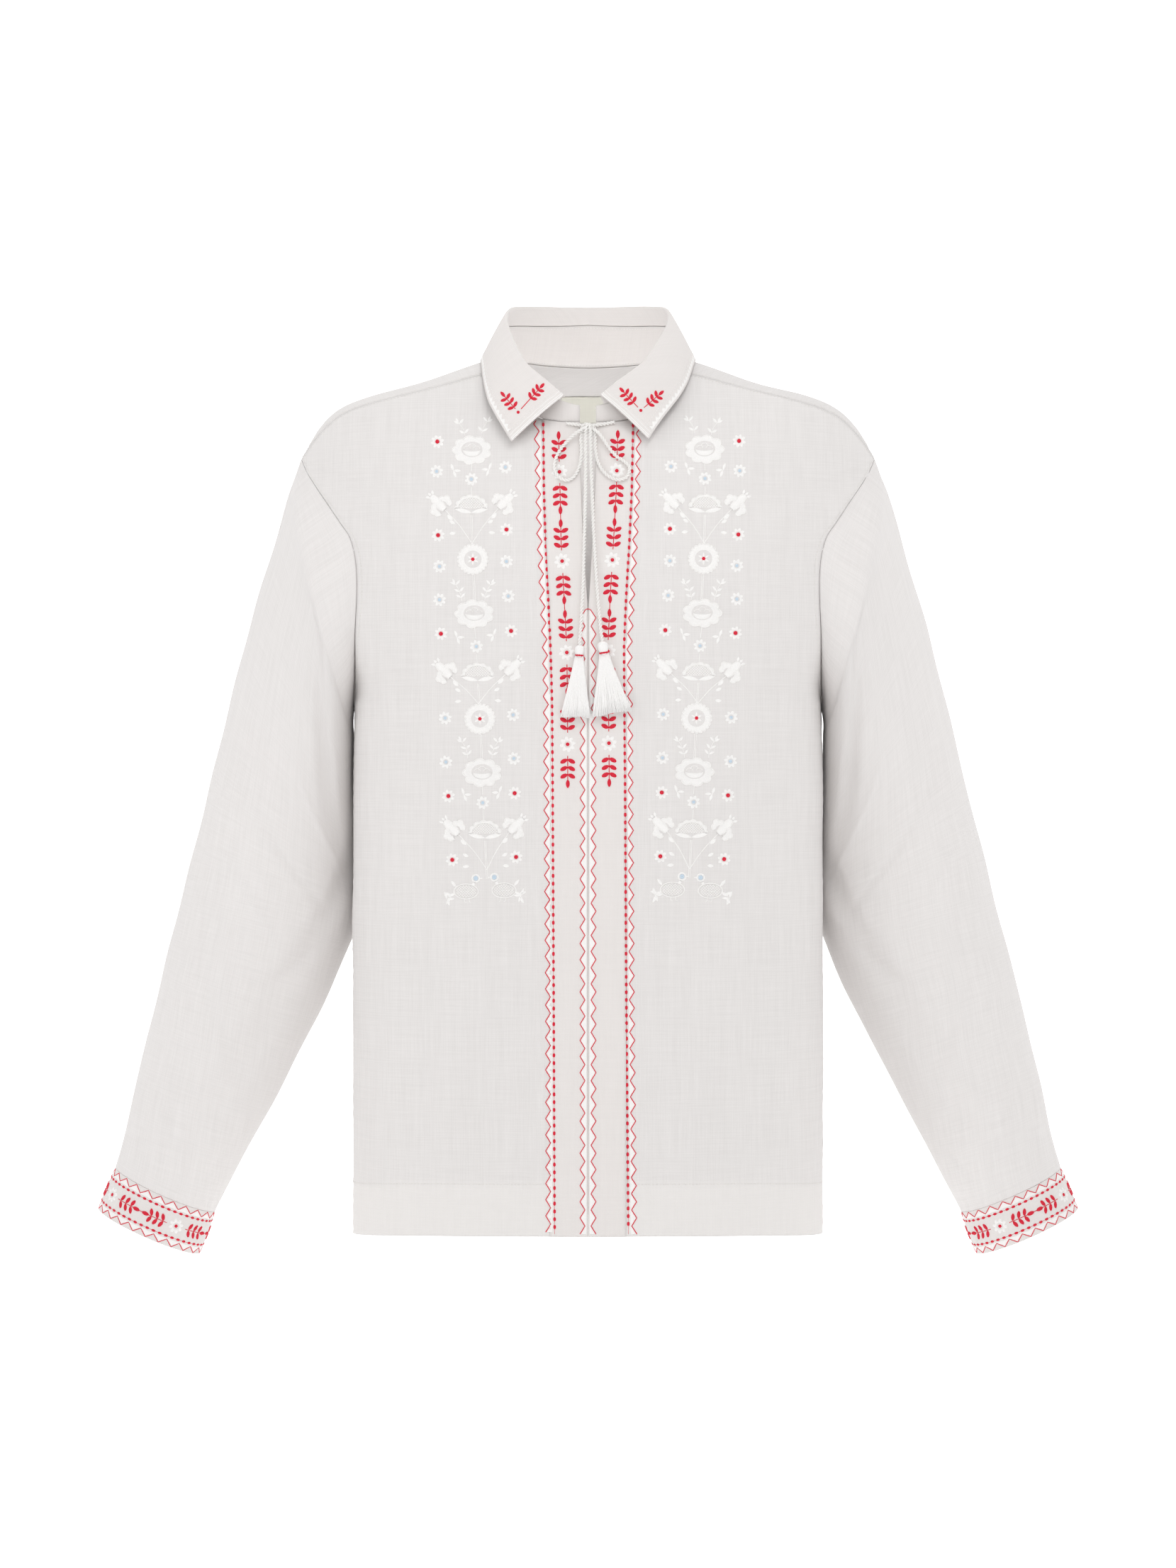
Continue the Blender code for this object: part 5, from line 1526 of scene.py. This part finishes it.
for n, (x, y) in enumerate(BELLS):
    out = -1 if n % 2 == 0 else 1
    foot, joint = np.array((x - 8.5 * out, y + 9.0)), np.array(JOINTS[n // 2], float)
    bend = (foot + joint) / 2 - (2 * out, 0)
    stalk = curve_through([foot, bend, joint + (0, 2)], np.linspace(0, 2, 14))
    MOTIFS.append(([placed(part, turn=-135 if out < 0 else -45) for part in bell_parts], foot))
    MOTIFS.append(([couched(stalk - foot, 1.3, 0.35)], foot))
    stalk_leaf = placed(small_leaf(11, 6.2, 0.55, 0.7), (-5.5, 0))
    MOTIFS.append(([placed(stalk_leaf, turn=-45 * out)], (foot * 2 + bend) / 3 + (0, 3)))
MOTIFS += [(spray(count, curl), (x, y)) for x, y, count, curl in SPRAY_FEET]
MOTIFS += [(sprig(curl), (x, y)) for x, y, curl in SPRIGS]
MOTIFS += [([placed(small_leaf(9.5, 5.0, 0.5, 0.7), turn=turn)], (x, y)) for x, y, turn in LONE_LEAVES]
MOTIFS += [(bird(facing), (x, y)) for x, y, facing in BIRDS]
MOTIFS += [([couched(np.array(line) - line[0], 1.0, 0.34, step=5.0)], line[0]) for line in STEMS]

for hand in (-1, 1):
    def across_picture(spot):
        """A place on the left of the picture, or its mirror image on the right."""
        return spot if hand < 0 else (2 * (MIDDLE_X + 0.3) - spot[0], spot[1] - 1.0)

    for parts, spot in MOTIFS:
        for part in parts:
            white_work.add(part, across_picture(spot), mirror=-hand)
    for stitching, places, radius, height in (
        (red_eyes, DAISIES, 2.8, 0.75), (red_eyes, RED_EYES, 3.0, 0.75), (blue_eyes, BLUE_EYES, 2.4, 0.6),
        (blue_eyes, [(x + 13.6 * facing, y - 18.5) for x, y, facing in BIRDS], 3.3, 0.6),
    ):
        for spot in places:
            stitching.add(knot_dot(radius, height), across_picture(spot))
white_work.lay("white_flower_stitches", front_view, white_thread, "linen")
red_eyes.lay("red_flower_eyes", front_view, red_thread, "linen")
blue_eyes.lay("pale_blue_flower_eyes", front_view, blue_thread, "linen")

# %% [markdown]
# ## The collar's sprays
# Two red sprays open in a V above a dot near each point of the collar, inside a white edge of small
# scallops, and two rows of fine stitches keep the edge flat.
# %% Sew the collar's sprays
collar_red, collar_white = Stitching(), Stitching()
# Each dot, with the tips of its two sprays and how far their leaves lean.
COLLAR_SPRAYS = (
    ((731.0, 581.5), ((710.0, 557.0, 70), (764.0, 545.0, 57))),
    ((904.0, 579.0), ((878.0, 551.0, 66), (932.0, 555.0, 60))),
)
collar_leaf = leaf(9.2, 4.9, 0.75, 0.55, ribs=4, along=16)
for foot, tips in COLLAR_SPRAYS:
    for x, y, lean in tips:
        tip = np.array((x, y))
        run = unit(tip - foot)
        heading = np.degrees(atan2(run[1], run[0]))
        collar_red.add(couched([foot + run * 6, tip], 1.2, 0.34, step=4.0))
        collar_red.add(collar_leaf, tip - run * 3.5, turn=heading)
        for k in range(3):
            for hand in (-1, 1):
                collar_red.add(collar_leaf, tip - run * (7.5 + 7.6 * k), turn=heading + hand * lean)
for foot, _ in COLLAR_SPRAYS:
    collar_red.add(knot_dot(2.3, 0.6), foot)
collar_red.lay("red_collar_stitches", collar_view, red_thread, "lined_linen")

FALL_FROM = 14
collar_grid = (collar_points, collar_plain_normals)
outer_edge, edge_length = along_edge(collar_grid, 7.0)
xs = np.linspace(8, edge_length - 8, 2 * int(edge_length / 5.4) + 1)
tips = finely(spots(xs, 4.0 + to_and_fro(len(xs), 2.6)), 1.2)
collar_white.add(filled(spots(tips[:, 0], 1.6), tips, 0.26))
collar_white.add(couched(tips, 0.6, 0.3))
collar_white.lay("white_collar_stitches", outer_edge, white_thread, "lined_linen")
for name, step in (("right", -1), ("left", 1)):
    front_edge, front_length = along_edge(crosswise([part[FALL_FROM:, ::step] for part in collar_grid]), 6.0)
    piping = Stitching()
    for inset, wide, high, wave in ((0.9, 1.0, 0.34, 0), (2.4, 0.9, 0.28, 0), (5.0, 0.5, 0.16, 0.25)):
        xs = np.linspace(1.0, front_length - 1.2, 60)
        piping.add(couched(spots(xs, inset + wave * np.sin(xs / 1.9)), wide, high))
    piping.lay("white_collar_point_" + name, front_edge, white_thread, "lined_linen")

# %% [markdown]
# ## The cuffs' border
# Each cuff carries one band of the same leaves between two rows of dashes and two zigzags. It repeats four
# times round the wrist, so it is set out in millimetres round the cuff, where no view would show it all.
# %% Sew the cuffs
CUFF_REPEATS, CUFF_DASHES, CUFF_TEETH = 4, 46, 44
CUFF_FLOWER_X = 157.0
cuff_leaf = leaf(6.0, 3.2, 0.75, 0.55, ribs=4.5, along=16)
cuff_bud = leaf(6.6, 3.4, 0.8, 0.6, ribs=5, along=18)
cuff_star = star_flower(6.6, 2.6)
cuff_dash = leaf(3.5, 2.2, 0.55, 0.3, along=6)

for side, name in SIDES.items():
    look, around, tall = round_the_cuff(side)
    middle = cuffs[side][0][CUFF_STEPS // 2]
    seen_x = PHOTO_WIDTH / 2 + middle[:, 0] * MM * FOCAL / (middle[:, 1] * MM - EYE.y)
    target = CUFF_FLOWER_X if side < 0 else PHOTO_WIDTH - CUFF_FLOWER_X
    in_front = middle[:, 1] < middle[:, 1].mean()
    origin = around * int(np.argmin(np.where(in_front, np.abs(seen_x - target), 1e9))) / CUFF_TURNS
    red, white = Stitching(), Stitching()
    repeat, y = around / CUFF_REPEATS, tall / 2 + 0.3
    for k in range(CUFF_REPEATS):
        s = origin + k * repeat
        white.add(cuff_star, (s, y))
        red.add(knot_dot(1.45, 0.7), (s, y))
        for heading in (1, -1):
            lead = s + repeat / 2 - 4.3 * heading
            red.add(cuff_bud, (lead - 3.3 * heading, y), mirror=heading)
            for n in range(3):
                at = lead - heading * (5.6 + 5.2 * n)
                for hand in (-1, 1):
                    red.add(cuff_leaf, (at, y + 0.3 * hand), turn=67 * hand, mirror=heading)
        red.add(couched(spots(np.linspace(s + 8.5, s + repeat - 8.5, 30), y), 0.6, 0.28))
    for v in (8.0, tall - 8.0):
        for k in range(CUFF_DASHES):
            red.add(cuff_dash, (k * around / CUFF_DASHES, v))
        red.add(couched(spots(np.linspace(0, around, 240), v), 0.32, 0.1))
    for v, base, start in ((3.1, 6.4, 1), (tall - 3.1, tall - 6.4, -1)):
        corners = spots(
            np.linspace(0, around, CUFF_TEETH + 1), v + to_and_fro(CUFF_TEETH + 1, 4.9, start)
        )
        red.add(couched(finely(corners, 2.2), 0.75, 0.4))
        fine = evenly(corners, 1.1)
        white.add(filled(spots(fine[:, 0], base), fine, 0.24))
    red.lay("red_cuff_stitches_" + name, look, red_thread, "lined_linen")
    white.lay("white_cuff_stitches_" + name, look, white_thread, "lined_linen")

# %% [markdown]
# ## Machine stitching
# Fine rows of stitches hold every seam: round the hem and the armholes, along the shoulders, the collar and
# the stand. One stitch is a small oval bead of thread, copied along each row.
# %% Lay one stitch along rows
bpy.ops.mesh.primitive_uv_sphere_add(segments=6, ring_count=4, radius=1)
bead = bpy.context.object
BEAD_POINTS = np.array([tuple(v.co) for v in bead.data.vertices])
BEAD_FACES = [tuple(f.vertices) for f in bead.data.polygons]
bpy.data.objects.remove(bead)


def stitch_rows(name, rows, pitch, length, width, finish, slot, proud=0.1):
    """Rows of stitches, each given by its points on the cloth and the normals there."""
    points, faces = [], []
    size = np.array((length, width, width)) / 2
    for row in rows:
        line, normals = np.hsplit(evenly(np.concatenate(row, axis=1), pitch), 2)
        along, normals = directions(line), unit(normals)
        for middle, *axes in zip(line, along, np.cross(normals, along), normals):
            faces += renumbered(BEAD_FACES, len(points) * len(BEAD_POINTS))
            points.append(middle + axes[2] * proud + (BEAD_POINTS * size) @ np.array(axes))
    print(name, "stitches", len(points))
    return dress(new_mesh(name, np.concatenate(points), faces), finish, slot)


SHOULDER_END, UNDERARM = 44, 122
rows = []
for grid in (fronts[1.0][:2], fronts[-1.0][:2], (back_cloth, back_normals)):
    on_front = grid[0] is not back_cloth
    rows.append(row_above([part[:, BAND_STEPS + 1 if on_front else 0:] for part in grid], HEM_STITCHES))
    for column in (-1,) if on_front else (0, -1):
        rows.append(row_beside(grid, column, 2.2, 0, SHOULDER_END))
        rows.append(row_beside(grid, column, 5.0, SHOULDER_END, UNDERARM))
stitch_rows("seam_stitches", rows, 2.9, 2.1, 0.42, sewing_thread, "linen")

# %% Topstitch the collar and the stand
collar_grid = (collar_points, outward(collar_points))
stand_normals = outward(stand_points)
inside_stand = (stand_points - stand_normals * STAND_WALL, -stand_normals)
collar_rows = [row_above(collar_grid, distance) for distance in (2.6, 7.6)]
for column in (0, -1):
    for distance in (2.6, 7.6):
        collar_rows.append(row_beside(collar_grid, column, distance, FALL_FROM, COLLAR_ROWS - 1))
collar_rows += [
    row_above(inside_stand, 1.6), row_above(inside_stand, 2.0, column=0),
    row_above((stand_points, stand_normals), 1.6),
]
stitch_rows("collar_topstitches", collar_rows, 2.6, 1.9, 0.4, white_thread, "lined_linen")

# %% [markdown]
# ## Knot and tassels
# The bow's knot is two turns of the cord round the place where everything crosses. A tassel is some six
# hundred threads hung over the cord's end, bound to a round head with thread, tied once more with red and cut
# to a slightly uneven foot.
# %% Wrap the knot
wraps = []
angles = turns_round(64)
for dx, lean, wide in ((-1.5, 0.22, 1.0), (1.5, -0.16, 0.96)):
    ring = spots(dx + lean * 3.9 * np.sin(angles), -2.7 * wide * np.cos(angles), 3.7 * wide * np.sin(angles))
    wraps.append(twisted_cord("wrap", over_the_bands(0.0, -66.5, 1.6) + ring, 2.9, 5.2, closed=True))
knot = dress(joined("bow_knot_turns", wraps), cord_finish, "cord", "bow_knot")

# %% Hang the tassels
# Each one's x and top z, its foot's x and z, half the width of its foot and its head, and its head's length.
TASSELS = {
    "right": (-6.5, -241.2, -9.9, -298.2, 11.6, 3.8, 6.1),
    "left": (11.3, -238.2, 19.2, -295.4, 15.6, 4.2, 6.9),
}
HEAD_PROFILE = ((0, 0.30), (0.05, 0.55), (0.14, 0.78), (0.35, 0.97), (0.6, 1.0), (0.85, 0.96), (1.1, 0.84),
                (1.28, 0.76), (1.36, 0.76), (1.5, 0.66), (1.6, 0.4))
TIE_DROPS, SKIRT_DROP = (1.28, 1.36), 1.3
THREADS, THREAD_HALF, THREAD_STEPS = 620, 0.42, 6
HEAD_TURNS, HEAD_RIBS = 56, 28


def tassel(name):
    x, top_z, foot_x, foot_z, foot_half, head_half, head_length = TASSELS[name]
    top = np.array((x, front_depth(x, top_z) - 2 * LAY_GAP - CLOTH - head_half * 0.8 - 0.4, top_z))
    drop = np.array((foot_x - x, 0.0, foot_z - top_z))
    down = drop / np.linalg.norm(drop)
    across, deep = np.array((-down[2], 0.0, down[0])), np.array((0.0, 1.0, 0.0))
    angles = turns_round(HEAD_TURNS)
    ribbed = (1 + 0.035 * np.cos(angles * HEAD_RIBS))[:, None]
    profile = curve_through(HEAD_PROFILE, np.linspace(0, len(HEAD_PROFILE) - 1, 34))
    points = [
        top + down * head_length * at + head_half * wide * ribbed * oval(angles, across, 0.8 * deep)
        for at, wide in profile
    ]
    faces = tube_faces(len(profile), HEAD_TURNS)
    count = len(profile) * HEAD_TURNS
    start = top + down * head_length * SKIRT_DROP
    left_over = np.linalg.norm(drop) - head_length * SKIRT_DROP
    share = np.linspace(0, 1, THREAD_STEPS)
    ring = THREAD_HALF * oval(turns_round(5), across, deep)
    for k in range(THREADS):
        u = 2 * ((k * 0.6180340 + 0.37) % 1) - 1
        v = (1 - u * u) ** 0.5 * (2 * ((k * 0.7548777 + 0.11) % 1) - 1)
        uneven = 1 + 0.012 * sin(k * 2.4) + 0.008 * sin(k * 5.1)
        spread = foot_half * 1.03 * u * share**1.12 + head_half * 0.8 * u * (1 - share)
        spread += 0.35 * np.sin(3.1 * share + k) * share
        depth = 2.9 * v * (0.5 + 0.5 * share) * (1.15 - 0.15 * share) - 0.6 * share
        path = start + np.stack([left_over * share * uneven, spread, depth], axis=1) @ np.array((down, across, deep))
        points.append((path[:, None] + ring).reshape(-1, 3))
        faces += renumbered(tube_faces(THREAD_STEPS, 5), count)
        count += len(points[-1])
    skirt = new_mesh("tassel_threads_" + name, np.concatenate(points), faces)
    bpy.ops.object.select_all(action="DESELECT")
    bpy.context.view_layer.objects.active = skirt
    skirt.select_set(True)
    bpy.ops.object.mode_set(mode="EDIT")
    bpy.ops.mesh.select_all(action="SELECT")
    bpy.ops.mesh.normals_make_consistent(inside=False)
    bpy.ops.object.mode_set(mode="OBJECT")
    dress(skirt, tassel_thread, "cord", "tassel_" + name)
    ties = []
    for drop in TIE_DROPS:
        ring = top + down * head_length * drop + head_half * 0.80 * oval(angles, across, 0.82 * deep)
        ties.append(twisted_cord("tie", ring, 0.95, 3.0, closed=True, around=7))
    return skirt, dress(joined("red_tie_" + name, ties), red_thread, "cord")


tassels = {name: tassel(name) for name in TASSELS}

for name, nodes, carried in (
    ("right", ("tie_right", "bow_left", "end_right"), (*tassels["right"], knot)),
    ("left", ("tie_left", "bow_right", "end_left"), tassels["left"]),
):
    cord = dress(cords[name], cord_finish, "cord", *nodes)
    path = routes[name] * MM
    tuple(path[0])
    round(float(run_along(path)[-1]), 3)
    list(carried)

# %% [markdown]
# ## Showing the picture
# The picture is shown as the sensor saw it, with no film curve, so white cloth stays white.
# %% Show the picture without a film curve
bpy.context.scene.view_settings.view_transform = "Standard"
